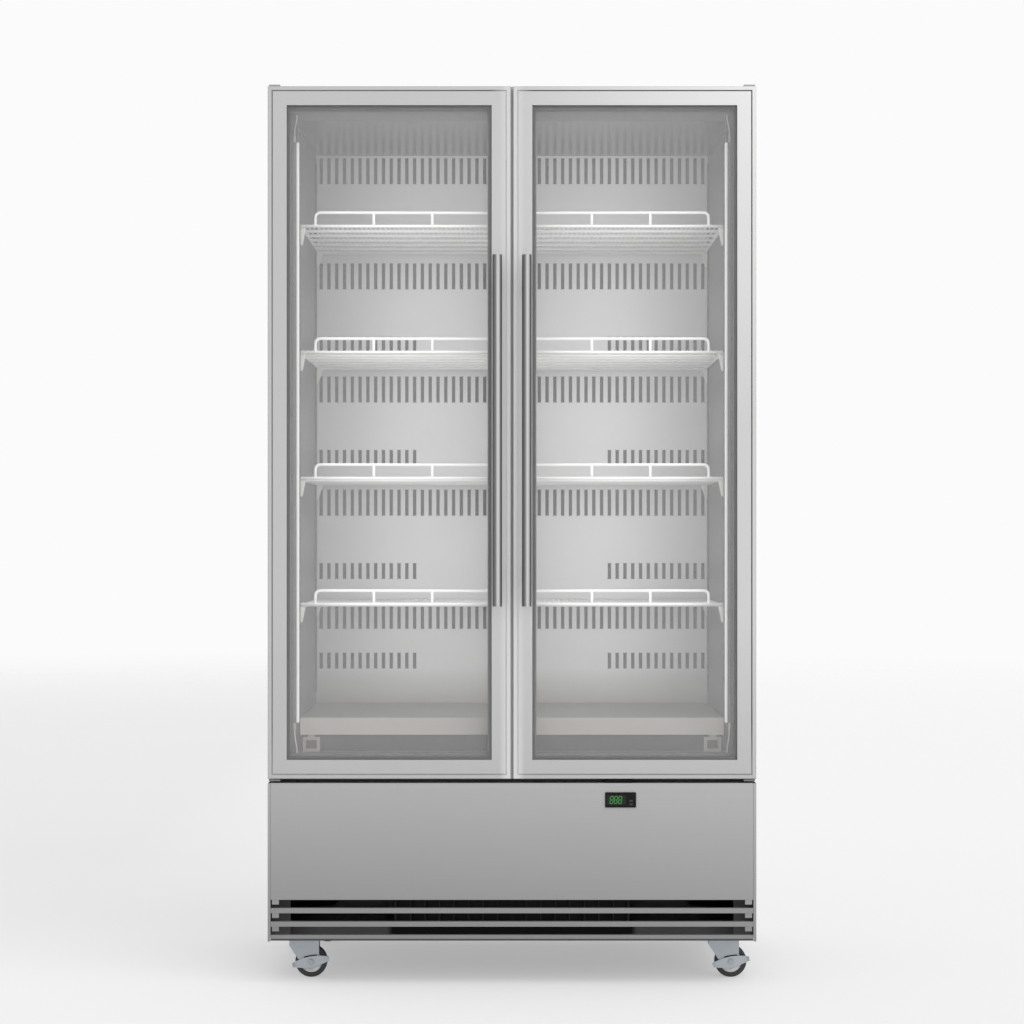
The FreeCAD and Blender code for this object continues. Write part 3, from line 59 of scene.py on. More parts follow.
# Studio
WHITE = 0.965
AMBIENT = 0.70
KEY_STRENGTH = 1.05
KEY_ANGLE = math.radians(60)
KEY_PLACE = (3.0, -4.0, 5.6)
KEY_TARGET = (0.0, 0.0, 0.9)
DOOR_FILL = 1.2
DOOR_FILL_PLACE = (0.0, -4.0, 1.4)
DOOR_FILL_TARGET = (0.0, 0.0, 1.2)
ROOM_FILL = 0.7
SHELF_FILL = 2.9
ROOM_LAMP = {"shape": "RECTANGLE", "size": 0.92, "size_y": 1.36}
ROOM_LAMP_INSET = 0.004
LEFT_GLOW = 1.6
RIGHT_GLOW = 1.8
GLOW_LAMP = {"shape": "RECTANGLE", "size": 0.10, "size_y": 1.45}
GLOW_PLACE = 0.24
GLOW_HEIGHT = 1.36
FLOOR_GLOW = 0.4
FLOOR_SIZE = 34.0
FLOOR_SOLID = 5.0
FLOOR_SHADE_X = (-0.4, -1.3)
FLOOR_SHADE_Y = (-0.4, 2.0)

# Names that repeat
SIDES = ("left", "right")
CASTERS = ("front_left", "front_right", "rear_left", "rear_right")
SHELVES = [f"shelves_level_{level}" for level in range(1, 5)]

# Points nearer than this are one, and eased edges of small pieces
TOUCH = 0.00001
SHEET_EDGE = 0.0003
FOLD_EDGE = 0.0004
SEAL_EDGE = 0.0006
MOULDED_EDGE = 0.0008

# Wire shelves
SHELF_WIRE = 0.006
FRONT_WIRE = 0.0072
CROSS_WIRE = 0.0072
FINE_WIRE = 0.0024
FINE_PITCH = 0.0112
FINE_WIRES = 43
FINE_SIDES = 8
SHELF_CENTRE = 0.016
CROSS_WIRES = 6
FIRST_CROSS = 0.062
CROSS_DROP = 0.004
WIRE_TURN = 0.010
END_PROUD = 0.0012
RAIL_INSET = 0.034
RAIL_RISE = 0.032
RAIL_BEND = 0.012
RAIL_BEND_STEPS = 5
RAIL_SPANS = 3
WIRE_SIDES = 10

# Shelf clips
FRONT_CLIP = 0.012
REAR_CLIP = 0.015
CLIP_FOOT = 0.004
CLIP_DEPTH = 0.020
CLIP_HEIGHT = 0.040
CLIP_CORNER = 0.002
WIDE_CLIP_TAPER = 0.6
WALL_TO_CLIP = 0.499
MULLION_CLIP = (0.056, 0.019)
PANEL_CLIP = (0.056, 0.011)

# Door frames: half the cabinet's width, places of painted light and painted shade, and the groove's painted
# shade
HALF_WIDTH = 0.565
DOOR_PAINTED_SHADE = (0.40, 0.85)
DOOR_PAINTED_HIGHLIGHT = (1.3, 2.08)
HANDLE_GAP_PAINTED_LIGHT = (0.030, 0.012)
GROOVE_FLOOR = -0.32215
GROOVE_REACH = 0.001
GROOVE_FACING = -0.9
GROOVE_SHADE_FADE = (0.016, 0.05)
GROOVE_SHADE_LOW = (0.50, 0.60)
GROOVE_SHADE_PALE = 0.35

# Places where other finishes change, most of them edges of painted light and painted shade
PANEL_PAINTED_SHADE = (0.10, 0.47)
SLAT_EDGE = 0.1065
FRAME_STEP = 0.4672
HINGE_STEP = 1.0
DECK_LIP = -0.2235
CEILING = 2.0
LINER_EDGE = -0.2285
BEHIND_PANEL = 0.300
TRAY_MIDDLE = (0.280, 0.292)
TRAY_SIDES = (0.45, 0.53)
HANDLE_TURN = 0.17
HANDLE_FLANK_SHADE = (0.12, 0.55)

# Shade on the air panel, under the shelves and over the deck
SHELF_TOP = 1.765
SHELF_PITCH = 0.297
SHADE_DEPTH = 0.09
DECK_SHADE = (0.60, 0.70)

# Shelf pilasters
PILASTER_WIDTH = 0.024
PILASTER_DEPTH = 0.004
PILASTER_CELL = 0.025
PILASTER_SLOT = 0.008
PILASTER_SHEET = 0.0012

# Slots of the air duct panel
VENT_PITCH = 0.020
VENT_WIDTH = 0.0086
VENT_COLUMNS = 50
VENT_CORNER = 0.002
LONG_VENT = 0.0665
SHORT_VENT = 0.0405
SHORT_COLUMNS = 13
DUCT_SHEET = 0.0012
LONG_ROWS = (0.190, 0.4805, 0.771, 1.0615, 1.3315)
SHORT_ROWS = (0.088, 0.318, 0.6085, 0.899)

# Door lights
LIGHT_WIDTH = 0.0062
LIGHT_ROUND = 0.0029
HOLDER_DEPTH = 0.0066
WALL_SLANT = 14.0 / 38.0
PLUG_SIZE = 0.005
PLUG_LENGTH = 0.016
LEAD_DIAMETER = 0.003
LEAD_STEP = 0.006
LEAD_STRAIGHT = 0.005
LEAD_FORWARD = 0.004
LEAD_REACH = 0.0085
LEAD_TUCK = 0.002
LEAD_STEPS = 6

# Air guard under the deck
GUARD_SETBACK = 0.022
GUARD_SHEET = 0.0012
GUARD_DROP = 0.105

# Casters
TURNED_STEPS = 48
TYRE_ROUND = 0.35
HUB_SHARE = 0.70
HUB_RECESS = 0.0025
BOSS_SHARE = 0.30
BOSS_ROUND = 0.001
WHEEL_BORE = 0.0045
NUT_WIDTH = 0.0150
NUT_HEIGHT = 0.0042
NUT_SEAT = 0.004
LEVER_NUT_SEAT = 0.0007
NUT_EASE = 0.05
NUT_RIM = 0.17
BOLT_END = 0.20
BOLT_POINT = (0.04, 0.08)
PLATE_SHEET = 0.003
PLATE_BOLT = 0.0100
PLATE_BOLT_HEIGHT = 0.004
PLATE_BOLT_PLACE = (0.0425, 0.0295)
SWIVEL_FROM_FORK = 0.030
LEVER_PLATE = 0.0025
LEVER_RISE = 0.0125
LEVER_ARC = 0.1223
LEVER_TILT = math.radians(10.5)
PAD_DIAMETER = 0.0028
PAD_PROUD = 0.0011
PAD_SPAN = (-0.014, 0.017)
PAD_STEPS = 8

# Louvres of the rear grille
GRILLE_SHEET = 0.0012
GRILLE_EDGE = 0.060
GRILLE_SLOT = (0.190, 0.008)
GRILLE_PITCH = 0.028
GRILLE_ROWS = 6
HOOD_SHEET = 0.001
HOOD_LAP = 0.001
HOOD_DROP = 0.0070
HOOD_REACH = 0.0120

# Controller
DIGITS = 3
DIGIT_SIZE = (0.0086, 0.0186)
DIGIT_PITCH = 0.0098
DIGIT_LEFT = 0.0065
SEGMENT = 0.0019
SEGMENT_RISE = 0.00015
SEGMENT_POINT = 0.42
UPRIGHT_GAP = 1.2
DIGIT_SLANT = 0.12
ARROW = 0.0013
ARROW_RISE = 0.00016
ARROW_EASE = 0.00004

# Edge seals of the doors, and the door switch
SEAL_SHARE = 0.12
SEAL_SETBACK = 0.007
SEAL_DEPTH = 0.010
SWITCH_SETBACK = 0.008
SWITCH_SINK = 0.0004
SWITCH_ENDS = (-0.001, -0.006)
SWITCH_DEPTH = 0.036
SWITCH_HEIGHT = 0.0088
SWITCH_ROUND = 0.0038

# Grain of the finishes: its scales, its change of gloss, and the strength and depth of its relief
ALONG_X = (6.0, 900.0, 900.0)
ALONG_Z = (900.0, 900.0, 6.0)
SATIN = (300.0, 300.0, 300.0)
CLOUD = 2.5
PEEL = 900.0
PAINT_GLOSS = 0.08
BRUSH_GLOSS = 0.12
COAT_PEEL = (0.12, 0.00005)
SHEET_PEEL = (0.10, 0.00004)
DEEP_BRUSH = (0.15, 0.00004)
LIGHT_BRUSH = (0.12, 0.00003)


def grey(level):
    """Linear value of a display grey between 0 and 255."""
    share = level / 255
    return share / 12.92 if share <= 0.04045 else ((share + 0.055) / 1.055) ** 2.4


def tone(red, green, blue):
    """Linear colour of a display colour between 0 and 255."""
    return (grey(red), grey(green), grey(blue), 1.0)


def plain(level):
    return tone(level, level, level)


def shaded(colour, share):
    return tuple(channel * share for channel in colour[:3]) + (1.0,)


# Finishes


def seen_rays(tree):
    """A socket that is 1 for the camera, in reflections and through glass."""
    path = tree.nodes.new("ShaderNodeLightPath")
    seen = path.outputs["Is Camera Ray"]
    for ray in ("Is Glossy Ray", "Is Transmission Ray"):
        either = tree.nodes.new("ShaderNodeMath")
        either.operation = "MAXIMUM"
        tree.links.new(seen, either.inputs[0])
        tree.links.new(path.outputs[ray], either.inputs[1])
        seen = either.outputs[0]
    return seen


class Shade:
    """A shader socket that joins in Python arithmetic by adding Math nodes."""

    def __init__(self, finish, socket):
        self.finish = finish
        self.socket = socket

    def __add__(self, other):
        return self.finish.math("ADD", self, other)

    def __sub__(self, other):
        return self.finish.math("SUBTRACT", self, other)

    def __rsub__(self, other):
        return self.finish.math("SUBTRACT", other, self)

    def __mul__(self, other):
        return self.finish.math("MULTIPLY", self, other)

    __radd__ = __add__
    __rmul__ = __mul__


class Finish:
    """One material: a Principled shader and the nodes that feed it."""

    def __init__(self, name, **constants):
        self.material = bpy.data.materials.new(name)
        self.material.use_nodes = True
        self.tree = self.material.node_tree
        self.shader = self.tree.nodes["Principled BSDF"]
        for socket, value in constants.items():
            self.shader.inputs[socket.replace("_", " ")].default_value = value

    def node(self, kind, settings, sockets, output=0):
        """Add a node with its settings, then its sockets' values or links, and return one output."""
        node = self.tree.nodes.new(kind)
        for key, value in settings.items():
            setattr(node, key, value)
        for key, value in sockets.items():
            self.feed(node.inputs[key], value)
        return Shade(self, node.outputs[output])

    def feed(self, socket, value):
        if isinstance(value, Shade):
            self.tree.links.new(value.socket, socket)
        else:
            socket.default_value = value

    def set(self, socket, value):
        self.feed(self.shader.inputs[socket], value)

    def math(self, operation, first, second=0.0):
        return self.node("ShaderNodeMath", {"operation": operation}, {0: first, 1: second})

    def place(self, stretch=(1.0, 1.0, 1.0)):
        """Object coordinates, scaled along each axis."""
        here = self.node("ShaderNodeTexCoord", {}, {}, "Object")
        return self.node("ShaderNodeMapping", {}, {"Vector": here, "Scale": stretch})

    def noise(self, scale, detail=3.0, stretch=(1.0, 1.0, 1.0)):
        sockets = {"Vector": self.place(stretch), "Scale": scale, "Detail": detail}
        return self.node("ShaderNodeTexNoise", {}, sockets, "Fac")

    def tint(self, factor, first, second):
        sockets = {0: factor, 6: first, 7: second}
        return self.node("ShaderNodeMix", {"data_type": "RGBA"}, sockets, 2)

    def varied(self, colour, factor, contrast):
        """A colour made a little darker and lighter by a pattern."""
        settings = {"data_type": "RGBA", "blend_type": "MULTIPLY"}
        shades = self.tint(factor, shaded((1, 1, 1), 1 - contrast), shaded((1, 1, 1), 1 + contrast))
        return self.node("ShaderNodeMix", settings, {0: 1.0, 6: colour, 7: shades}, 2)

    def along(self, axis, source="Object"):
        here = self.node("ShaderNodeTexCoord", {}, {}, source)
        return self.node("ShaderNodeSeparateXYZ", {}, {"Vector": here}, axis)

    def ramp(self, value, low, high):
        """From 0 at the low value to 1 at the high one."""
        return self.node("ShaderNodeMapRange", {}, {"Value": value, "From Min": low, "From Max": high})

    def paint(self, colour, roughness, contrast, peel):
        """Paint with soft clouding in its colour and gloss, and a faint orange peel."""
        cloud = self.noise(CLOUD)
        self.set("Base Color", self.varied(colour, cloud, contrast))
        self.set("Roughness", cloud * PAINT_GLOSS + (roughness - PAINT_GLOSS / 2))
        return self.relief(self.noise(PEEL, 1.0), *peel)

    def brush(self, lines, roughness, depth):
        """Gloss and relief of brush lines."""
        self.set("Roughness", lines * BRUSH_GLOSS + (roughness - BRUSH_GLOSS / 2))
        return self.relief(lines, *depth)

    def relief(self, height, strength, distance):
        sockets = {"Height": height, "Strength": strength, "Distance": distance}
        self.set("Normal", self.node("ShaderNodeBump", {}, sockets))
        return self.material

    def whiten(self, white, share):
        """Show a share of plain white in place of the shaded surface, to the rays that are seen."""
        seen = Shade(self, seen_rays(self.tree))
        solid = Shade(self, self.shader.inputs["Alpha"].links[0].from_socket)
        glow = self.node("ShaderNodeEmission", {}, {"Color": shaded((1, 1, 1), white)})
        body = Shade(self, self.shader.outputs["BSDF"])
        mixed = self.node("ShaderNodeMixShader", {}, {0: seen * solid * share, 1: body, 2: glow})
        self.tree.links.new(mixed.socket, self.tree.nodes["Material Output"].inputs["Surface"])


def brushed(name, colour, roughness, metallic, stretch):
    """Metal with fine brush lines, drawn out along the axis with the small stretch."""
    finish = Finish(name, Metallic=metallic)
    lines = finish.noise(1.0, 4.0, stretch)
    cloud = finish.noise(3.0, 2.0)
    finish.set("Base Color", finish.varied(colour, lines * 0.7 + cloud * 0.3, 0.05))
    return finish.brush(lines, roughness, DEEP_BRUSH)


def coated(name, colour, roughness, contrast=0.03, metallic=0.0):
    """Powder coat or paint in one even colour."""
    return Finish(name, Metallic=metallic).paint(colour, roughness, contrast, COAT_PEEL)


def moulded(name, colour, roughness, contrast=0.08, gloss=0.5):
    """Moulded plastic or rubber with a fine spark-eroded grain."""
    finish = Finish(name, Specular_IOR_Level=gloss)
    grain = finish.noise(1600.0, 2.0)
    cloud = finish.noise(12.0, 2.0)
    finish.set("Base Color", finish.varied(colour, cloud, contrast))
    finish.set("Roughness", grain * 0.1 + (roughness - 0.05))
    return finish.relief(grain, 0.2, 0.00005)


def galvanised():
    """Zinc-coated sheet with the leafy spangle of hot dipping."""
    finish = Finish("galvanised_sheet", Metallic=0.6)
    leaves = finish.node("ShaderNodeTexVoronoi", {}, {"Vector": finish.place(), "Scale": 70.0}, "Color")
    cloud = finish.noise(4.0)
    shade = leaves * 0.7 + cloud * 0.3
    finish.set("Base Color", finish.varied(tone(168, 171, 173), shade, 0.10))
    finish.set("Roughness", shade * 0.2 + 0.38)
    return finish.relief(shade, 0.1, 0.00004)


def door_aluminium():
    """Satin anodised door frames: painted light brighter towards the key light, between the handles and as a
    top right highlight; painted shade towards the bottom and in the groove.
    """
    finish = Finish("satin_aluminium", Metallic=0.3)
    across, height = finish.along("X"), finish.along("Z")
    # Painted light: brighter towards the key light at the right
    share = finish.ramp(across, -HALF_WIDTH, HALF_WIDTH)
    base = finish.tint(share, plain(169), plain(183))
    # Painted shade towards the bottom
    base = finish.tint(finish.ramp(height, *DOOR_PAINTED_SHADE), plain(160), base)
    # Painted highlight at the top right corner
    corner = finish.ramp(across, 0.0, HALF_WIDTH) * finish.ramp(height, *DOOR_PAINTED_HIGHLIGHT)
    base = finish.tint(corner, base, plain(208))
    aside = finish.math("ABSOLUTE", across)
    # Painted light between the handles, against the shade that they cast
    base = finish.tint(finish.ramp(aside, *HANDLE_GAP_PAINTED_LIGHT), base, plain(189))
    # Painted shade in the groove: darker to the right, paler near the middle and towards the bottom
    sockets = {0: finish.along("Y"), 1: GROOVE_FLOOR, 2: GROOVE_REACH}
    groove = finish.node("ShaderNodeMath", {"operation": "COMPARE"}, sockets)
    groove = groove * finish.math("LESS_THAN", finish.along("Y", "Normal"), GROOVE_FACING)
    groove = groove * finish.ramp(aside, *GROOVE_SHADE_FADE)
    groove = groove * (finish.ramp(height, *GROOVE_SHADE_LOW) * (1 - GROOVE_SHADE_PALE) + GROOVE_SHADE_PALE)
    base = finish.tint(groove, base, finish.tint(share, plain(122), plain(78)))
    lines = finish.noise(1.0, 3.0, SATIN)
    cloud = finish.noise(2.0)
    finish.set("Base Color", finish.varied(base, cloud, 0.02))
    finish.set("Roughness", lines * 0.08 + 0.36)
    return finish.relief(lines, 0.06, 0.00003)


def shaded_steel(name, top, bottom, shadow_line_edge):
    """Brushed front steel with painted shade darkening it towards the floor, painted light a little brighter
    to the right, and a painted shadow line below a given height.
    """
    finish = Finish(name, Metallic=0.25)
    lines = finish.noise(1.0, 4.0, ALONG_X)
    height = finish.along("Z")
    base = finish.tint(finish.ramp(height, *PANEL_PAINTED_SHADE), bottom, top)
    base = finish.tint(finish.math("LESS_THAN", height, shadow_line_edge), base, plain(72))
    # Painted light: a little brighter to the right
    base = finish.varied(base, finish.ramp(finish.along("X"), -HALF_WIDTH, HALF_WIDTH), 0.045)
    finish.set("Base Color", finish.varied(base, lines, 0.045))
    return finish.brush(lines, 0.44, LIGHT_BRUSH)


def stepped_coat(name, before, after, axis, edge, roughness):
    """Coated sheet whose colour changes at one place along an axis; on the deck's top and on the frame behind
    the slots the darker side is painted shade.
    """
    finish = Finish(name)
    share = finish.math("GREATER_THAN", finish.along(axis), edge)
    return finish.paint(finish.tint(share, before, after), roughness, 0.025, SHEET_PEEL)


def liner_sheet():
    """Liner sheet: glossy overhead, dull at the sides, with painted shade at its side and lower front edges,
    painted light at its top front edge, and painted shade behind the air panel.
    """
    finish = Finish("liner_sheet")
    cloud = finish.noise(CLOUD)
    depth = finish.along("Y")
    overhead = finish.math("GREATER_THAN", finish.along("Z"), CEILING)
    base = finish.tint(overhead, plain(112), plain(110))
    # Painted shade at the side and lower front edges, painted light at the top front edge
    edge = finish.tint(overhead, plain(92), plain(132))
    base = finish.tint(finish.math("LESS_THAN", depth, LINER_EDGE), base, edge)
    # Painted shade behind the air panel, seen through its slots
    base = finish.tint(finish.math("GREATER_THAN", depth, BEHIND_PANEL), base, plain(50))
    finish.set("Base Color", finish.varied(base, cloud, 0.025))
    finish.set("Roughness", cloud * 0.06 + 0.36 - overhead * 0.16)
    return finish.material


def duct_sheet():
    """Pale coated air panel with painted shade under each shelf and towards the deck."""
    finish = Finish("duct_sheet")
    height = finish.along("Z")
    below = finish.math("FRACT", (SHELF_TOP - height) * (1 / SHELF_PITCH)) * SHELF_PITCH
    base = finish.tint(finish.ramp(below, 0.0, SHADE_DEPTH), plain(185), plain(206))
    base = finish.tint(finish.ramp(height, *DECK_SHADE), tone(148, 144, 141), base)
    return finish.paint(base, 0.45, 0.02, COAT_PEEL)


def tray_paint():
    """Dark paint with painted shade: black in the middle, where the machine's fan stands, and darker again at
    the sides.
    """
    finish = Finish("tray_paint", Specular_IOR_Level=0.12)
    aside = finish.math("ABSOLUTE", finish.along("X"))
    base = finish.tint(finish.ramp(aside, *TRAY_MIDDLE), plain(6), plain(82))
    base = finish.tint(finish.ramp(aside, *TRAY_SIDES), base, plain(52))
    return finish.paint(base, 0.50, 0.05, SHEET_PEEL)


def handle_steel():
    """Brushed bar with a painted reflection: bright along its front and painted dark at its flanks."""
    finish = Finish("handle_steel", Metallic=0.9)
    lines = finish.noise(1.0, 4.0, ALONG_Z)
    flank_shade = finish.math("ABSOLUTE", finish.along("X", "Normal") - HANDLE_TURN)
    base = finish.tint(finish.ramp(flank_shade, *HANDLE_FLANK_SHADE), plain(208), plain(114))
    finish.set("Base Color", finish.varied(base, lines, 0.06))
    return finish.brush(lines, 0.30, DEEP_BRUSH)


def door_pane():
    """Clear glass with a faint pale veil, a painted reflection, over what stands behind it."""
    finish = Finish("door_pane", Roughness=0.03, IOR=1.5)
    cloud = finish.noise(1.5, 2.0)
    finish.set("Base Color", finish.varied(plain(246), cloud, 0.02))
    finish.set("Alpha", cloud * 0.01 + 0.075)
    return finish.material


def glowing(name, colour, strength):
    """A lit surface with a slight unevenness."""
    finish = Finish(name, Roughness=0.4, Emission_Strength=strength)
    lit = finish.varied(colour, finish.noise(30.0, 1.0), 0.02)
    finish.set("Base Color", lit)
    finish.set("Emission Color", lit)
    return finish.material


FINISHES = {
    "door_aluminium": door_aluminium(),
    "cabinet_paint": coated("cabinet_paint", plain(176), 0.42, 0.02, 0.25),
    "galvanised_sheet": galvanised(),
    "insulation_foam": moulded("insulation_foam", tone(225, 214, 170), 0.9),
    "liner_sheet": liner_sheet(),
    "duct_sheet": duct_sheet(),
    "clip_plastic": moulded("clip_plastic", tone(228, 227, 224), 0.45, 0.03),
    # The deck's top is darker than its lip as painted shade
    "deck_sheet": stepped_coat("deck_sheet", tone(202, 195, 188), tone(131, 129, 126), "Y", DECK_LIP, 0.45),
    "shelf_wire": coated("shelf_coat", tone(248, 248, 247), 0.3, 0.01),
    "light_diffuser": glowing("light_diffuser", plain(250), 0.3),
    "lead_plastic": moulded("lead_plastic", tone(236, 234, 226), 0.5, 0.03),
    "zinc_plate": coated("zinc_plate", tone(176, 182, 188), 0.36, 0.08, 0.5),
    "black_plastic": moulded("black_plastic", plain(24), 0.45, 0.08, 0.12),
    "display_window": moulded("display_window", tone(34, 44, 36), 0.25, 0.08, 0.15),
    "key_plastic": moulded("key_plastic", plain(58), 0.5, 0.08, 0.15),
    # Near black aluminium fins: painted shade for the coil seen through the slots
    "coil_aluminium": brushed("coil_fins", plain(12), 0.6, 0.1, ALONG_Z),
    "motor_shell": coated("motor_paint", plain(34), 0.5, 0.05),
    "compressor_shell": coated("compressor_paint", plain(20), 0.4, 0.05),
    "copper_pipe": brushed("copper_pipe", tone(196, 132, 98), 0.3, 0.9, ALONG_X),
    "door_glass": door_pane(),
    "glazing_spacer": coated("glazing_spacer", plain(104), 0.45, 0.03, 0.3),
    "gasket_rubber": moulded("gasket_rubber", plain(112), 0.7),
    "handle_steel": handle_steel(),
    "wheel_rubber": moulded("tyre_rubber", plain(56), 0.65),
    "lever_paint": coated("lever_zinc", tone(184, 190, 196), 0.38, 0.06, 0.5),
}
# Near white hub: partly its own white, partly painted light against the shade under the cabinet
HUB_PLASTIC = moulded("hub_plastic", plain(238), 0.5)
DIGIT_GREEN = glowing("digit_green", tone(50, 122, 50), 0.3)
ARROW_GREY = moulded("arrow_grey", plain(96), 0.5)
# Pale grey seal: its paleness is painted light against the shade of the gap between the doors
EDGE_SEAL_PAINTED_LIGHT = moulded("edge_seal", plain(180), 0.6)
PLUG_BEIGE = moulded("plug_beige", tone(214, 206, 188), 0.5, 0.04)
HOLDER_GREY = moulded("holder_grey", plain(128), 0.5, 0.04)
# Near black plate under the deck: painted shade
GUARD_PAINTED_SHADE = coated("guard_painted_shade", plain(22), 0.7)
OWN_FINISH = {
    # Front steels with painted shade towards the floor; the slats also have a painted shadow line along their
    # bottom
    "front_panel": shaded_steel("front_panel_steel", plain(180), plain(144), 0.0),
    "louvre_slats": shaded_steel("louvre_steel", plain(180), plain(138), SLAT_EDGE),
    "front_cheeks": shaded_steel("cheek_steel", plain(178), plain(146), 0.0),
    # The frame is darker below the step as painted shade seen through the slots
    "front_frame": stepped_coat("frame_paint", plain(74), plain(104), "Z", FRAME_STEP, 0.5),
    "base_tray": tray_paint(),
    "centre_mullion": coated("mullion_paint", plain(112), 0.45),
    "deck_feet": coated("foot_paint", tone(164, 152, 144), 0.5),
    "hinge_brackets": stepped_coat("hinge_steel", tone(150, 144, 138), plain(188), "Z", HINGE_STEP, 0.4),
}


def dress(piece, material):
    piece.data.materials.clear()
    piece.data.materials.append(material)


def dress_cad_nodes():
    """Give every CAD node its own finish, or that of its material slot."""
    for part in frame["record"]["subparts"]:
        name = part["node"]
        dress(nodes[name], OWN_FINISH.get(name, FINISHES[part["material_slot"]]))


# Making pieces by hand


def mode(name):
    bpy.ops.object.mode_set(mode=name)


def clear_selection():
    if bpy.context.mode != "OBJECT":
        mode("OBJECT")
    bpy.ops.object.select_all(action="DESELECT")


def pick(piece):
    clear_selection()
    piece.select_set(True)
    bpy.context.view_layer.objects.active = piece


def settle(piece, name):
    """Name a piece and write its place, turn and size into its mesh."""
    piece.name = name
    pick(piece)
    bpy.ops.object.transform_apply(location=True, rotation=True, scale=True)
    return piece


def choose(piece, kind, test):
    """In edit mode, select only the vertices, edges or faces whose points pass the test."""
    pick(piece)
    mode("EDIT")
    bpy.ops.mesh.select_mode(type=kind)
    bpy.ops.mesh.select_all(action="DESELECT")
    mode("OBJECT")
    mesh = piece.data
    points = [vertex.co for vertex in mesh.vertices]
    if kind == "VERT":
        for vertex in mesh.vertices:
            vertex.select = test([vertex.co])
    for part in {"EDGE": mesh.edges, "FACE": mesh.polygons}.get(kind, ()):
        part.select = test([points[i] for i in part.vertices])
    mode("EDIT")


def draw(step):
    """Extrude what is selected by a step."""
    bpy.ops.mesh.extrude_region_move(TRANSFORM_OT_translate={"value": step})


def close_up(piece):
    """Merge the points that fall together, cap open wire ends and turn every face outwards."""
    pick(piece)
    mode("EDIT")
    bpy.ops.mesh.select_mode(type="VERT")
    bpy.ops.mesh.select_all(action="SELECT")
    bpy.ops.mesh.remove_doubles(threshold=TOUCH)
    bpy.ops.mesh.fill_holes(sides=WIRE_SIDES)
    bpy.ops.mesh.select_all(action="SELECT")
    bpy.ops.mesh.normals_make_consistent(inside=False)
    mode("OBJECT")
    return piece


def modify(piece, kind, **settings):
    """Add a modifier and apply it."""
    modifier = piece.modifiers.new(kind.lower(), kind)
    for key, value in settings.items():
        setattr(modifier, key, value)
    pick(piece)
    bpy.ops.object.modifier_apply(modifier=modifier.name)
    return piece


def repeat(piece, count, step):
    """Copies of a piece in a row, joined where they meet."""
    return modify(
        piece,
        "ARRAY",
        count=count,
        use_relative_offset=False,
        use_constant_offset=True,
        constant_offset_displace=step,
        use_merge_vertices=True,
        merge_threshold=TOUCH,
    )


def soften(piece, width, segments=2):
    return modify(piece, "BEVEL", width=width, segments=segments, limit_method="ANGLE")


def smooth(piece, degrees=40):
    pick(piece)
    bpy.ops.object.shade_smooth_by_angle(angle=math.radians(degrees))
    return piece


def block(name, low, high, edge, segments=2):
    """A box with softened edges."""
    clear_selection()
    low, high = Vector(low), Vector(high)
    bpy.ops.mesh.primitive_cube_add(size=1, location=(low + high) / 2, scale=high - low)
    return soften(settle(bpy.context.object, name), edge, segments)


def round_bar(name, start, end, diameter, sides=WIRE_SIDES):
    """A round bar between two points, with its ends eased."""
    clear_selection()
    start, end = Vector(start), Vector(end)
    run = end - start
    turn = run.to_track_quat("Z", "Y").to_euler()
    middle = (start + end) / 2
    bpy.ops.mesh.primitive_cylinder_add(
        vertices=sides, radius=diameter / 2, depth=run.length, location=middle, rotation=turn
    )
    return smooth(soften(settle(bpy.context.object, name), diameter / 8, 1))


def joined(name, pieces):
    """Join pieces into one, which keeps its materials."""
    clear_selection()
    for piece in pieces:
        piece.select_set(True)
    bpy.context.view_layer.objects.active = pieces[0]
    bpy.ops.object.join()
    pieces[0].name = name
    return pieces[0]


def twin(piece, name):
    """A mirrored copy on the other side of the middle."""
    pick(piece)
    bpy.ops.object.duplicate()
    copy = bpy.context.object
    copy.scale.x = -1
    return close_up(settle(copy, name))


def fit(piece, body, slot, *replaced):
    """Put a piece on its body, hide the CAD nodes that it stands for, and give it its slot's finish if it has
    none.
    """
    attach(piece, body)
    if replaced:
        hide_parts(*replaced)
    if not piece.data.materials:
        dress(piece, FINISHES[slot])
    return piece


def wire_ring(name, place, diameter):
    """A flat ring that wire is drawn out of, left in edit mode."""
    clear_selection()
    bpy.ops.mesh.primitive_circle_add(vertices=WIRE_SIDES, radius=diameter / 2, location=place)
    ring = settle(bpy.context.object, name)
    mode("EDIT")
    bpy.ops.mesh.select_all(action="SELECT")
    return ring


def bend(centre, angle, steps):
    """Draw the selected ring round a bend that lies flat on to the front."""
    bpy.ops.mesh.spin(steps=steps, angle=-angle, center=centre, axis=(0, 1, 0))


# Inside the cold room


def guard_rail(name, left, right, y, low, high):
    """A bent front rail: a wire ring drawn up, round the bend, along and down again."""
    rail = wire_ring(name, (left, y, low), FRONT_WIRE)
    corner = RAIL_BEND
    draw((0, 0, high - low - corner))
    bend((left + corner, y, high - corner), math.pi / 2, RAIL_BEND_STEPS)
    draw((right - left - 2 * corner, 0, 0))
    bend((right - corner, y, high - corner), math.pi / 2, RAIL_BEND_STEPS)
    draw((0, 0, low - high + corner))
    return smooth(close_up(rail))


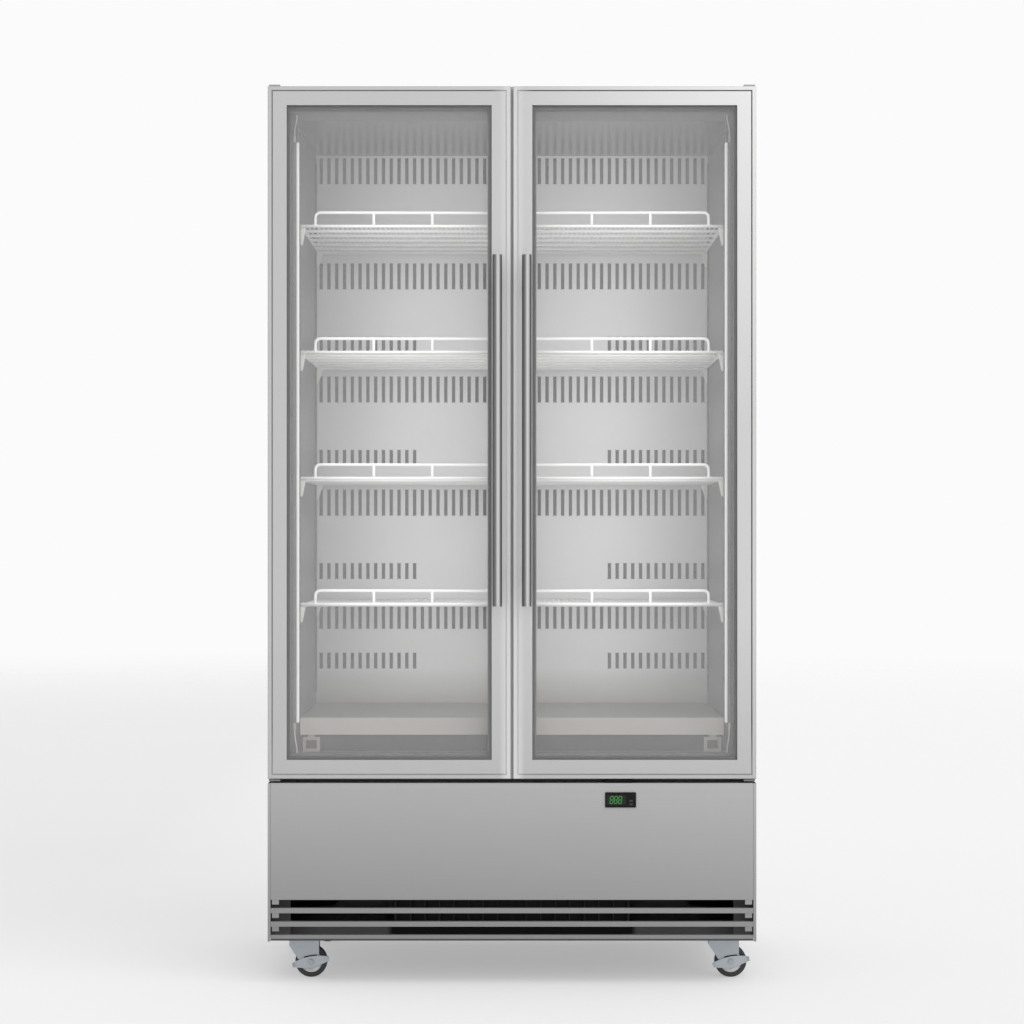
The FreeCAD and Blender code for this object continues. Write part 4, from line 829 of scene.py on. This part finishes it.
def wire_shelf(node):
    """Both shelves of one level: a frame of stout wires, fine wires on top, guard rail with posts."""
    low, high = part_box(node)
    z = low.z + SHELF_WIRE / 2
    under = z - CROSS_DROP
    front = low.y + SHELF_WIRE / 2
    rear = high.y - SHELF_WIRE / 2
    outer = high.x
    pitch = (rear - front - FIRST_CROSS) / (CROSS_WIRES - 1)
    wires = [round_bar("front_wire", (SHELF_CENTRE, front, z), (outer, front, z), FRONT_WIRE)]
    for i in range(CROSS_WIRES):
        y = front + FIRST_CROSS + i * pitch
        wires.append(round_bar("cross_wire", (SHELF_CENTRE, y, under), (outer, y, under), CROSS_WIRE))
    for x in (SHELF_CENTRE + SHELF_WIRE / 2, outer - SHELF_WIRE / 2):
        wires.append(round_bar("side_wire", (x, front, under), (x, high.y, under), SHELF_WIRE))
    first = (SHELF_CENTRE + outer - FINE_PITCH * (FINE_WIRES - 1)) / 2
    top = under + (CROSS_WIRE + FINE_WIRE) / 2
    turn = front + WIRE_TURN
    fine = round_bar("fine_wire", (first, turn, top), (first, rear, top), FINE_WIRE, FINE_SIDES)
    choose(fine, "FACE", lambda points: all(point.y < turn + TOUCH for point in points))
    draw((0, -WIRE_TURN, z + FRONT_WIRE / 2 + END_PROUD - top))
    mode("OBJECT")
    wires.append(repeat(smooth(fine), FINE_WIRES, (FINE_PITCH, 0, 0)))
    left = SHELF_CENTRE + RAIL_INSET
    right = outer - RAIL_INSET
    rail_top = z + RAIL_RISE
    wires.append(guard_rail("guard_rail", left, right, front, z, rail_top))
    for i in range(1, RAIL_SPANS):
        x = left + (right - left) * i / RAIL_SPANS
        wires.append(round_bar("rail_post", (x, front, z), (x, front, rail_top), FRONT_WIRE))
    shelf = joined("right_shelf", wires)
    shelf = joined(f"wire_{node}", [shelf, twin(shelf, "left_shelf")])
    return fit(shelf, "cabinet", "shelf_wire", node)


def shelf_clip(low, high, foot):
    """A wedge-shaped clip: a block whose lower end is drawn in to its foot, with eased edges."""
    clip = block("shelf_clip", low, high, MOULDED_EDGE, 1)
    middle = (low[2] + high[2]) / 2
    for edge, shift in zip((low[0], high[0]), foot):
        choose(clip, "VERT", lambda points: points[0].z < middle and abs(points[0].x - edge) < CLIP_CORNER)
        bpy.ops.transform.translate(value=(shift, 0, 0))
        mode("OBJECT")
    return clip


def shelf_clips():
    """Six clips at each level: front and rear on both walls, wide ones on the mullion and the air panel."""
    low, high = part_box("shelf_clips")
    clips = []
    for node in SHELVES:
        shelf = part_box(node)
        top = shelf[0].z
        foot = top - CLIP_HEIGHT
        front_y = shelf[0].y + SHELF_WIRE / 2
        rear_y = shelf[1].y - SHELF_WIRE / 2 - CLIP_DEPTH
        for y, width in ((front_y, FRONT_CLIP), (rear_y, REAR_CLIP)):
            near, far = WALL_TO_CLIP - width, WALL_TO_CLIP
            clip = shelf_clip((near, y, foot), (far, y + CLIP_DEPTH, top), (width - CLIP_FOOT, 0))
            clips += [twin(clip, "left_clip"), clip]
        for y, (width, depth) in ((low.y, MULLION_CLIP), (high.y - PANEL_CLIP[1], PANEL_CLIP)):
            half = width / 2
            taper = half * WIDE_CLIP_TAPER
            clips.append(shelf_clip((-half, y, foot), (half, y + depth, top), (taper, -taper)))
    return fit(joined("wedge_shelf_clips", clips), "cabinet", "clip_plastic", "shelf_clips")


def panel_cell(name, x, y, z, width, height, slotted):
    """One cell of sheet, flat on to the front, with a rounded slot or none."""
    clear_selection()
    bpy.ops.mesh.primitive_plane_add(size=1, location=(x, y, z + height / 2), rotation=(math.pi / 2, 0, 0))
    cell = bpy.context.object
    cell.scale = (width, height, 1)
    settle(cell, name)
    if slotted:
        mode("EDIT")
        bpy.ops.mesh.select_all(action="SELECT")
        bpy.ops.mesh.inset(thickness=(width - slotted) / 2)
        bpy.ops.mesh.bevel(offset=VENT_CORNER, segments=2, affect="VERTICES")
        bpy.ops.mesh.delete(type="FACE")
        mode("OBJECT")
    return cell


def panel_band(y, z, height, columns):
    """One band across the duct panel: a row of cells, open in so many columns from each side."""
    first = -VENT_PITCH * (VENT_COLUMNS - 1) / 2
    middle = VENT_COLUMNS - 2 * columns
    cells = []
    for start, count, slot in (
        (0, columns, VENT_WIDTH),
        (columns, middle, 0.0),
        (columns + middle, columns, VENT_WIDTH),
    ):
        if count:
            x = first + start * VENT_PITCH
            cell = panel_cell("panel_cell", x, y, z, VENT_PITCH, height, slot)
            cells.append(repeat(cell, count, (VENT_PITCH, 0, 0)))
    return joined("panel_band", cells)


def duct_panel():
    """The slotted air panel at the back of the cold room, folded back at both sides."""
    low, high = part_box("back_duct_panel")
    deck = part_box("floor_deck")[1].z
    rim = VENT_PITCH - VENT_WIDTH
    rows = [(deck + rise - rim / 2, LONG_VENT + rim, VENT_COLUMNS // 2) for rise in LONG_ROWS]
    rows += [(deck + rise - rim / 2, SHORT_VENT + rim, SHORT_COLUMNS) for rise in SHORT_ROWS]
    bands = []
    z = low.z
    for start, height, columns in sorted(rows):
        bands.append(panel_band(low.y, z, start - z, 0))
        bands.append(panel_band(low.y, start, height, columns))
        z = start + height
    bands.append(panel_band(low.y, z, high.z - z, 0))
    panel = joined("slotted_duct_panel", bands)
    mode("EDIT")
    bpy.ops.mesh.select_all(action="SELECT")
    bpy.ops.mesh.remove_doubles(threshold=TOUCH)
    mode("OBJECT")
    modify(panel, "SOLIDIFY", thickness=DUCT_SHEET, offset=-1)
    edge = VENT_PITCH * VENT_COLUMNS / 2
    folds = [
        block("fold", low, (-edge, high.y, high.z), FOLD_EDGE),
        block("fold", (edge, low.y, low.z), high, FOLD_EDGE),
    ]
    return fit(joined("slotted_duct_panel", [panel] + folds), "cabinet", "duct_sheet", "back_duct_panel")


def pilaster(back, facing, low, high):
    """A slotted strip folded back at both edges, standing on its wall."""
    cells = int((high - low) / PILASTER_CELL)
    height = (high - low) / cells
    strip = panel_cell("pilaster", 0, 0, low, PILASTER_WIDTH, height, PILASTER_SLOT)
    repeat(strip, cells, (0, 0, height))
    edge = PILASTER_WIDTH / 2 - 10 * TOUCH
    choose(strip, "EDGE", lambda points: abs(sum(point.x for point in points)) > 2 * edge)
    draw((0, PILASTER_DEPTH, 0))
    mode("OBJECT")
    close_up(modify(strip, "SOLIDIFY", thickness=PILASTER_SHEET, offset=-1))
    strip.rotation_euler = (0, 0, math.atan2(facing[0], -facing[1]))
    strip.location = Vector(back) + Vector(facing) * PILASTER_DEPTH
    return settle(strip, "pilaster")


def pilasters():
    """Six shelf strips: two on each side wall, one behind the mullion and one on the air panel."""
    low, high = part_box("pilasters")
    shelf_low, shelf_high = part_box(SHELVES[0])
    half = (PILASTER_WIDTH + SHELF_WIRE) / 2
    strips = []
    for y in (shelf_low.y + half, shelf_high.y - half):
        strips.append(pilaster((low.x, y, 0), (1, 0, 0), low.z, high.z))
        strips.append(pilaster((high.x, y, 0), (-1, 0, 0), low.z, high.z))
    strips.append(pilaster((0, low.y, 0), (0, 1, 0), low.z, high.z))
    strips.append(pilaster((0, high.y, 0), (0, -1, 0), low.z, high.z))
    strips = joined("slotted_pilasters", strips)
    dress(strips, FINISHES["liner_sheet"])
    fit(strips, "cabinet", "duct_sheet", "pilasters")


def door_lights():
    """The two upright lights: a grey holder on the slanted wall and a round-ended diffuser."""
    low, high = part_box("led_lights")
    seam = high.x - HOLDER_DEPTH
    tip = seam - LIGHT_WIDTH
    diffuser = block("diffuser", (tip, low.y, low.z), (seam, high.y, high.z), LIGHT_ROUND, 4)
    dress(smooth(diffuser), FINISHES["light_diffuser"])
    holder = block("holder", (seam, low.y, low.z), high, FOLD_EDGE)
    far = high.x - 1.5 * FOLD_EDGE
    choose(holder, "VERT", lambda points: points[0].x > far and points[0].y > (low.y + high.y) / 2)
    bpy.ops.transform.translate(value=(-(high.y - low.y) * WALL_SLANT, 0, 0))
    mode("OBJECT")
    dress(holder, HOLDER_GREY)
    light = joined("right_door_light", [diffuser, holder])
    light = joined("door_lights", [light, twin(light, "left_door_light")])
    fit(light, "cabinet", "light_diffuser", "led_lights")


def light_lead(x, y, end, stop):
    """A plug at the end of a light, and the lead that swings inwards from it into the wall."""
    way = math.copysign(1.0, stop - end)
    half = PLUG_SIZE / 2
    low_z, high_z = sorted((end, end + way * PLUG_LENGTH))
    plug = block("plug", (x - half, y - half, low_z), (x + half, y + half, high_z), MOULDED_EDGE)
    dress(plug, PLUG_BEIGE)
    start = end + way * (PLUG_LENGTH - LEAD_TUCK)
    lead = wire_ring("lead", (x, y, start), LEAD_DIAMETER)
    rise = abs(stop - start) - 2 * LEAD_STRAIGHT
    turn = 2 * math.atan2(LEAD_STEP, rise)
    radius = rise / (2 * math.sin(turn))
    draw((0, 0, way * LEAD_STRAIGHT))
    first = start + way * LEAD_STRAIGHT
    bend((x - radius, y, first), -way * turn, LEAD_STEPS)
    bend((x - LEAD_STEP + radius, y, first + way * rise), way * turn, LEAD_STEPS)
    draw((0, 0, way * LEAD_STRAIGHT))
    dress(smooth(close_up(lead)), FINISHES["lead_plastic"])
    return [plug, lead]


def light_leads():
    """Short supply leads at both ends of the door lights."""
    low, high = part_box("led_leads")
    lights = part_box("led_lights")
    y = low.y - LEAD_FORWARD
    x = lights[1].x - PLUG_SIZE / 2
    pieces = light_lead(x, y, lights[1].z, high.z + LEAD_REACH)
    pieces += light_lead(x, y, lights[0].z, low.z - LEAD_REACH)
    leads = joined("right_leads", pieces)
    leads = joined("light_leads", [leads, twin(leads, "left_leads")])
    return fit(leads, "cabinet", "lead_plastic", "led_leads")


def air_guard():
    """A dark plate hung under the deck in front of the cold coil, open below for the air; its near black is
    painted shade.
    """
    low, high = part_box("floor_deck")
    front = low.y + GUARD_SETBACK
    top = high.z - DUCT_SHEET
    near = (low.x + DUCT_SHEET, front, top - GUARD_DROP)
    far = (high.x - DUCT_SHEET, front + GUARD_SHEET, top)
    guard = block("air_guard", near, far, SHEET_EDGE)
    dress(guard, GUARD_PAINTED_SHADE)
    fit(guard, "cabinet", "deck_sheet")


# Casters


def turned_ring(name, centre, inner, outer, half, round_edge):
    """A ring turned round an axle along Y from a flat section, with its outer edges rounded."""
    clear_selection()
    middle = centre.z + (inner + outer) / 2
    place = (centre.x, centre.y, middle)
    bpy.ops.mesh.primitive_plane_add(size=1, location=place, rotation=(0, math.pi / 2, 0))
    ring = bpy.context.object
    ring.scale = (outer - inner, half * 2, 1)
    settle(ring, name)
    choose(ring, "VERT", lambda points: points[0].z > middle)
    bpy.ops.mesh.bevel(offset=round_edge, segments=4, affect="VERTICES")
    bpy.ops.mesh.select_all(action="SELECT")
    bpy.ops.mesh.delete(type="ONLY_FACE")
    bpy.ops.mesh.select_all(action="SELECT")
    bpy.ops.mesh.spin(steps=TURNED_STEPS, angle=math.tau, center=centre, axis=(0, 1, 0))
    return smooth(close_up(ring), 35)


def caster_wheel(node, body):
    """A rubber tyre on a plastic hub with a raised boss, bored for the axle."""
    low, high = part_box(node)
    centre = (low + high) / 2
    radius = (high.z - low.z) / 2
    half = (high.y - low.y) / 2
    rim = radius * HUB_SHARE
    tyre = turned_ring("tyre", centre, rim, radius, half, half * TYRE_ROUND)
    dress(tyre, FINISHES["wheel_rubber"])
    hub = turned_ring("hub", centre, WHEEL_BORE, rim, half - HUB_RECESS, MOULDED_EDGE)
    boss = turned_ring("boss", centre, WHEEL_BORE, radius * BOSS_SHARE, half, BOSS_ROUND)
    dress(hub, HUB_PLASTIC)
    dress(boss, HUB_PLASTIC)
    fit(joined(f"turned_{node}", [tyre, hub, boss]), body, "wheel_rubber", node)


def hex_nut(name, seat, facing, width, height):
    """A hexagon head on its seat, eased round its corners, with the bolt's end in its middle."""
    clear_selection()
    seat, facing = Vector(seat), Vector(facing)
    bpy.ops.mesh.primitive_cylinder_add(
        vertices=6,
        radius=width / 2,
        depth=height,
        location=seat + facing * height / 2,
        rotation=facing.to_track_quat("Z", "Y").to_euler(),
    )
    nut = soften(settle(bpy.context.object, name), width * NUT_EASE)
    top = (seat + facing * height).dot(facing) - TOUCH
    choose(nut, "FACE", lambda points: all(point.dot(facing) > top for point in points))
    bpy.ops.mesh.inset(thickness=width * NUT_RIM)
    draw(facing * height * BOLT_END)
    bpy.ops.mesh.inset(thickness=width * BOLT_POINT[0])
    draw(facing * height * BOLT_POINT[1])
    mode("OBJECT")
    dress(nut, FINISHES["zinc_plate"])
    return smooth(nut, 25)


def axle_nuts():
    """A nut on each end of the axles, in front of the brake lever where there is one."""
    for place in CASTERS:
        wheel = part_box(f"{place}_caster_wheel")
        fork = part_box(f"{place}_caster_fork")
        centre = (wheel[0] + wheel[1]) / 2
        front_seat = LEVER_NUT_SEAT if place.startswith("front") else NUT_SEAT
        nuts = []
        for y, way in ((fork[1].y - NUT_SEAT, 1), (fork[0].y + front_seat, -1)):
            nuts.append(hex_nut("nut", (centre.x, y, centre.z), (0, way, 0), NUT_WIDTH, NUT_HEIGHT))
        fit(joined(f"{place}_axle_nuts", nuts), f"{place}_caster", "zinc_plate")


def plate_bolts():
    """Four bolt heads under every caster plate."""
    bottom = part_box("caster_plates")[1].z - PLATE_SHEET
    heads = []
    for place in CASTERS:
        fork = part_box(f"{place}_caster_fork")
        middle = (fork[0].x + SWIVEL_FROM_FORK, (fork[0].y + fork[1].y) / 2)
        for u in (-PLATE_BOLT_PLACE[0], PLATE_BOLT_PLACE[0]):
            for v in (-PLATE_BOLT_PLACE[1], PLATE_BOLT_PLACE[1]):
                seat = (middle[0] + u, middle[1] + v, bottom)
                heads.append(hex_nut("bolt", seat, (0, 0, -1), PLATE_BOLT, PLATE_BOLT_HEIGHT))
    fit(joined("caster_plate_bolts", heads), "cabinet", "zinc_plate")


def lever_pads():
    """A black rubber cord along the upper edge of each brake lever, in front of the fork."""
    for side in SIDES:
        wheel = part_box(f"front_{side}_caster_wheel")
        axle = (wheel[0] + wheel[1]) / 2
        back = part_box(f"front_{side}_brake_lever")[1].y
        arc = LEVER_ARC + PAD_PROUD
        start, end = (reach / arc for reach in PAD_SPAN)
        pad = wire_ring("pad", (-arc, 0, 0), PAD_DIAMETER)
        bend((0, 0, 0), end - start, PAD_STEPS)
        smooth(close_up(pad))
        pad.rotation_euler.y = math.pi / 2 + start
        pad.location.z = LEVER_RISE - LEVER_ARC
        settle(pad, "pad")
        pad.rotation_euler.y = -LEVER_TILT
        pad.location = (axle.x, back - LEVER_PLATE / 2, axle.z)
        dress(settle(pad, f"{side}_lever_pad"), FINISHES["black_plastic"])
        fit(pad, f"front_{side}_brake", "black_plastic")


# Back


def grille_louvres():
    """Pressed hoods behind the rear grille's slots, sloping in and down from their upper edges."""
    low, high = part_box("rear_grille")
    half = GRILLE_SLOT[0] / 2 + HOOD_LAP
    rise = GRILLE_SLOT[1] / 2 + HOOD_LAP
    inner = high.y - GRILLE_SHEET
    first = low.z + GRILLE_EDGE
    inset = GRILLE_EDGE + GRILLE_SLOT[0] / 2
    hoods = []
    for x in (low.x + inset, high.x - inset):
        near = (x - half, inner - HOOD_SHEET, first - HOOD_DROP)
        hood = block("louvre_hood", near, (x + half, inner, first + rise), SHEET_EDGE)
        choose(hood, "VERT", lambda points: points[0].z < first)
        bpy.ops.transform.translate(value=(0, -HOOD_REACH, 0))
        mode("OBJECT")
        hoods.append(repeat(hood, GRILLE_ROWS, (0, 0, GRILLE_PITCH)))
    fit(joined("grille_louvres", hoods), "cabinet", "galvanised_sheet")


# Doors and controller


def edge_seals():
    """A pale grey rubber lip along the closing edge of each door, in the gap between the doors; partly its
    own grey, lightened as painted light against the gap's shade.
    """
    for side in SIDES:
        low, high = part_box(f"{side}_door_frame")
        edge = high.x if side == "left" else low.x
        near, far = sorted((edge, edge * SEAL_SHARE))
        front = low.y + SEAL_SETBACK
        back = front + SEAL_DEPTH
        seal = block(f"{side}_edge_seal", (near, front, low.z), (far, back, high.z), SEAL_EDGE)
        dress(seal, EDGE_SEAL_PAINTED_LIGHT)
        fit(seal, f"{side}_door", "gasket_rubber")


def door_switch():
    """The black door switch in the gap over the controller."""
    low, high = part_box("controller_housing")
    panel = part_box("front_panel")
    near = Vector((low.x + SWITCH_ENDS[0], panel[0].y + SWITCH_SETBACK, panel[1].z - SWITCH_SINK))
    far = Vector((high.x + SWITCH_ENDS[1], near.y + SWITCH_DEPTH, near.z + SWITCH_HEIGHT))
    switch = block("door_switch", near, far, SWITCH_ROUND, 4)
    dress(smooth(switch), FINISHES["black_plastic"])
    fit(switch, "cabinet", "black_plastic")


def digit_bar(x, z, width, height, y):
    """One lit bar of a digit, pointed at its ends."""
    clear_selection()
    place = (x, y - SEGMENT_RISE / 2, z)
    bpy.ops.mesh.primitive_cube_add(size=1, location=place, scale=(width, SEGMENT_RISE, height))
    bar = settle(bpy.context.object, "digit_bar")
    choose(bar, "EDGE", lambda points: abs(points[0].y - points[1].y) > SEGMENT_RISE / 2)
    bpy.ops.mesh.bevel(offset=SEGMENT * SEGMENT_POINT, segments=1, affect="EDGES")
    mode("OBJECT")
    return bar


def display_digits():
    """Three lit digits with all seven bars on, leaning a little, on the display window."""
    low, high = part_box("controller_lens")
    width, height = DIGIT_SIZE
    middle = (low.z + high.z) / 2
    upright = height / 2 - SEGMENT * UPRIGHT_GAP
    bars = []
    for i in range(DIGITS):
        left = low.x + DIGIT_LEFT + i * DIGIT_PITCH
        for level in (-1, 0, 1):
            z = middle + level * (height - SEGMENT) / 2
            bars.append(digit_bar(left + width / 2, z, width - SEGMENT, SEGMENT, low.y))
        for level in (-1, 1):
            z = middle + level * (height - SEGMENT) / 4
            bars.append(digit_bar(left + SEGMENT / 2, z, SEGMENT, upright, low.y))
            bars.append(digit_bar(left + width - SEGMENT / 2, z, SEGMENT, upright, low.y))
    digits = joined("display_digits", bars)
    for vertex in digits.data.vertices:
        vertex.co.x += (vertex.co.z - middle) * DIGIT_SLANT
    dress(digits, DIGIT_GREEN)
    fit(digits, "cabinet", "display_window")


def key_arrows():
    """A small raised arrow on each key, pointing up or down."""
    for name, lean in (("upper", math.pi / 2), ("lower", -math.pi / 2)):
        low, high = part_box(f"{name}_key")
        clear_selection()
        place = ((low.x + high.x) / 2, low.y - ARROW_RISE / 2, (low.z + high.z) / 2)
        bpy.ops.mesh.primitive_cylinder_add(
            vertices=3, radius=ARROW, depth=ARROW_RISE, location=place, rotation=(lean, 0, 0)
        )
        arrow = soften(settle(bpy.context.object, f"{name}_key_arrow"), ARROW_EASE, 1)
        dress(arrow, ARROW_GREY)
        fit(arrow, f"{name}_key", "key_plastic")


# Studio


def studio_floor():
    """A pale floor round the fridge, shaded at its left rear, that fades out into the white backdrop."""
    clear_selection()
    bpy.ops.mesh.primitive_plane_add(size=FLOOR_SIZE)
    floor = settle(bpy.context.object, "studio_floor")
    finish = Finish("studio_floor", Roughness=0.9)
    shade = finish.ramp(finish.along("X"), *FLOOR_SHADE_X) * finish.ramp(finish.along("Y"), *FLOOR_SHADE_Y)
    base = finish.tint(shade, plain(249), plain(229))
    finish.set("Base Color", finish.varied(base, finish.noise(0.4, 1.0), 0.005))
    reach = finish.node("ShaderNodeVectorMath", {"operation": "LENGTH"}, {0: finish.place()}, "Value")
    sockets = {
        "Value": reach,
        "From Min": FLOOR_SOLID,
        "From Max": FLOOR_SIZE / 2,
        "To Min": 1.0,
        "To Max": 0.0,
    }
    finish.set("Alpha", finish.node("ShaderNodeMapRange", {"interpolation_type": "SMOOTHSTEP"}, sockets))
    finish.whiten(WHITE, FLOOR_GLOW)
    dress(floor, finish.material)


def studio_world():
    """White to the rays that are seen, and a plainer level as light."""
    world = bpy.data.worlds.new("studio")
    bpy.context.scene.world = world
    world.use_nodes = True
    tree = world.node_tree
    level = tree.nodes.new("ShaderNodeMapRange")
    level.inputs["To Min"].default_value = AMBIENT
    level.inputs["To Max"].default_value = WHITE
    tree.links.new(seen_rays(tree), level.inputs["Value"])
    backdrop = tree.nodes["Background"]
    backdrop.inputs["Color"].default_value = (1.0, 1.0, 1.0, 1.0)
    tree.links.new(level.outputs[0], backdrop.inputs["Strength"])


def lamp(name, kind, place, target, watts, **settings):
    """A lamp that the camera doesn't see, turned to its target."""
    light = bpy.data.lights.new(name, kind)
    light.energy = watts
    for key, value in settings.items():
        setattr(light, key, value)
    stand = bpy.data.objects.new(name, light)
    bpy.context.scene.collection.objects.link(stand)
    stand.location = place
    stand.rotation_euler = (Vector(target) - Vector(place)).to_track_quat("-Z", "Y").to_euler()
    stand.visible_camera = False
    stand.visible_glossy = False
    return stand


def shine_on(light, pieces, blockers):
    """Let a lamp light some pieces only, with the shadows of the blockers."""
    for role, linked in (("receiver", pieces), ("blocker", blockers)):
        group = bpy.data.collections.new(f"{light.name}_{role}s")
        for piece in linked:
            group.objects.link(piece)
        setattr(light.light_linking, f"{role}_collection", group)


def studio_lamps(panel, shelves):
    """A broad key, a soft fill in the cold room, and lamps for door frames, shelves and air panel alone."""
    lamp("key_lamp", "SUN", KEY_PLACE, KEY_TARGET, KEY_STRENGTH, angle=KEY_ANGLE)
    door_fill = lamp("door_fill", "SUN", DOOR_FILL_PLACE, DOOR_FILL_TARGET, DOOR_FILL, angle=KEY_ANGLE)
    frames = [nodes[f"{side}_door_frame"] for side in SIDES]
    shine_on(door_fill, frames, frames)
    low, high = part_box("inner_liner")
    middle = (low.z + high.z) / 2
    place = (0, low.y + ROOM_LAMP_INSET, middle)
    lamp("room_fill", "AREA", place, (0, 1, middle), ROOM_FILL, **ROOM_LAMP)
    shelf_fill = lamp("shelf_fill", "AREA", place, (0, 1, middle), SHELF_FILL, **ROOM_LAMP)
    shine_on(shelf_fill, shelves, shelves)
    for side, x, watts in (("left", -GLOW_PLACE, LEFT_GLOW), ("right", GLOW_PLACE, RIGHT_GLOW)):
        target = (x, 1, GLOW_HEIGHT)
        glow = lamp(f"{side}_panel_glow", "AREA", (x, 0, GLOW_HEIGHT), target, watts, **GLOW_LAMP)
        shine_on(glow, [panel], [panel] + shelves)


def photograph_camera():
    camera = bpy.data.cameras.new("photograph")
    camera.lens = LENS_MM
    camera.sensor_width = SENSOR_MM
    camera.shift_y = (HORIZON_ROW - FRAME_PIXELS / 2) / FRAME_PIXELS
    viewer = bpy.data.objects.new("photograph", camera)
    bpy.context.scene.collection.objects.link(viewer)
    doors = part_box("right_door_frame")[0].y
    viewer.location = (0.0, doors - CAMERA_FROM_DOORS, CAMERA_HEIGHT)
    viewer.rotation_euler = (math.pi / 2, 0.0, 0.0)
    bpy.context.scene.camera = viewer


def build():
    dress_cad_nodes()
    shelves = [wire_shelf(node) for node in SHELVES]
    shelves.append(shelf_clips())
    shelves.append(light_leads())
    panel = duct_panel()
    pilasters()
    door_lights()
    air_guard()
    for place in CASTERS:
        caster_wheel(f"{place}_caster_wheel", f"{place}_wheel")
    axle_nuts()
    plate_bolts()
    lever_pads()
    grille_louvres()
    edge_seals()
    door_switch()
    display_digits()
    key_arrows()
    studio_floor()
    studio_world()
    studio_lamps(panel, shelves)
    photograph_camera()
    bpy.context.scene.view_settings.view_transform = "Standard"


build()
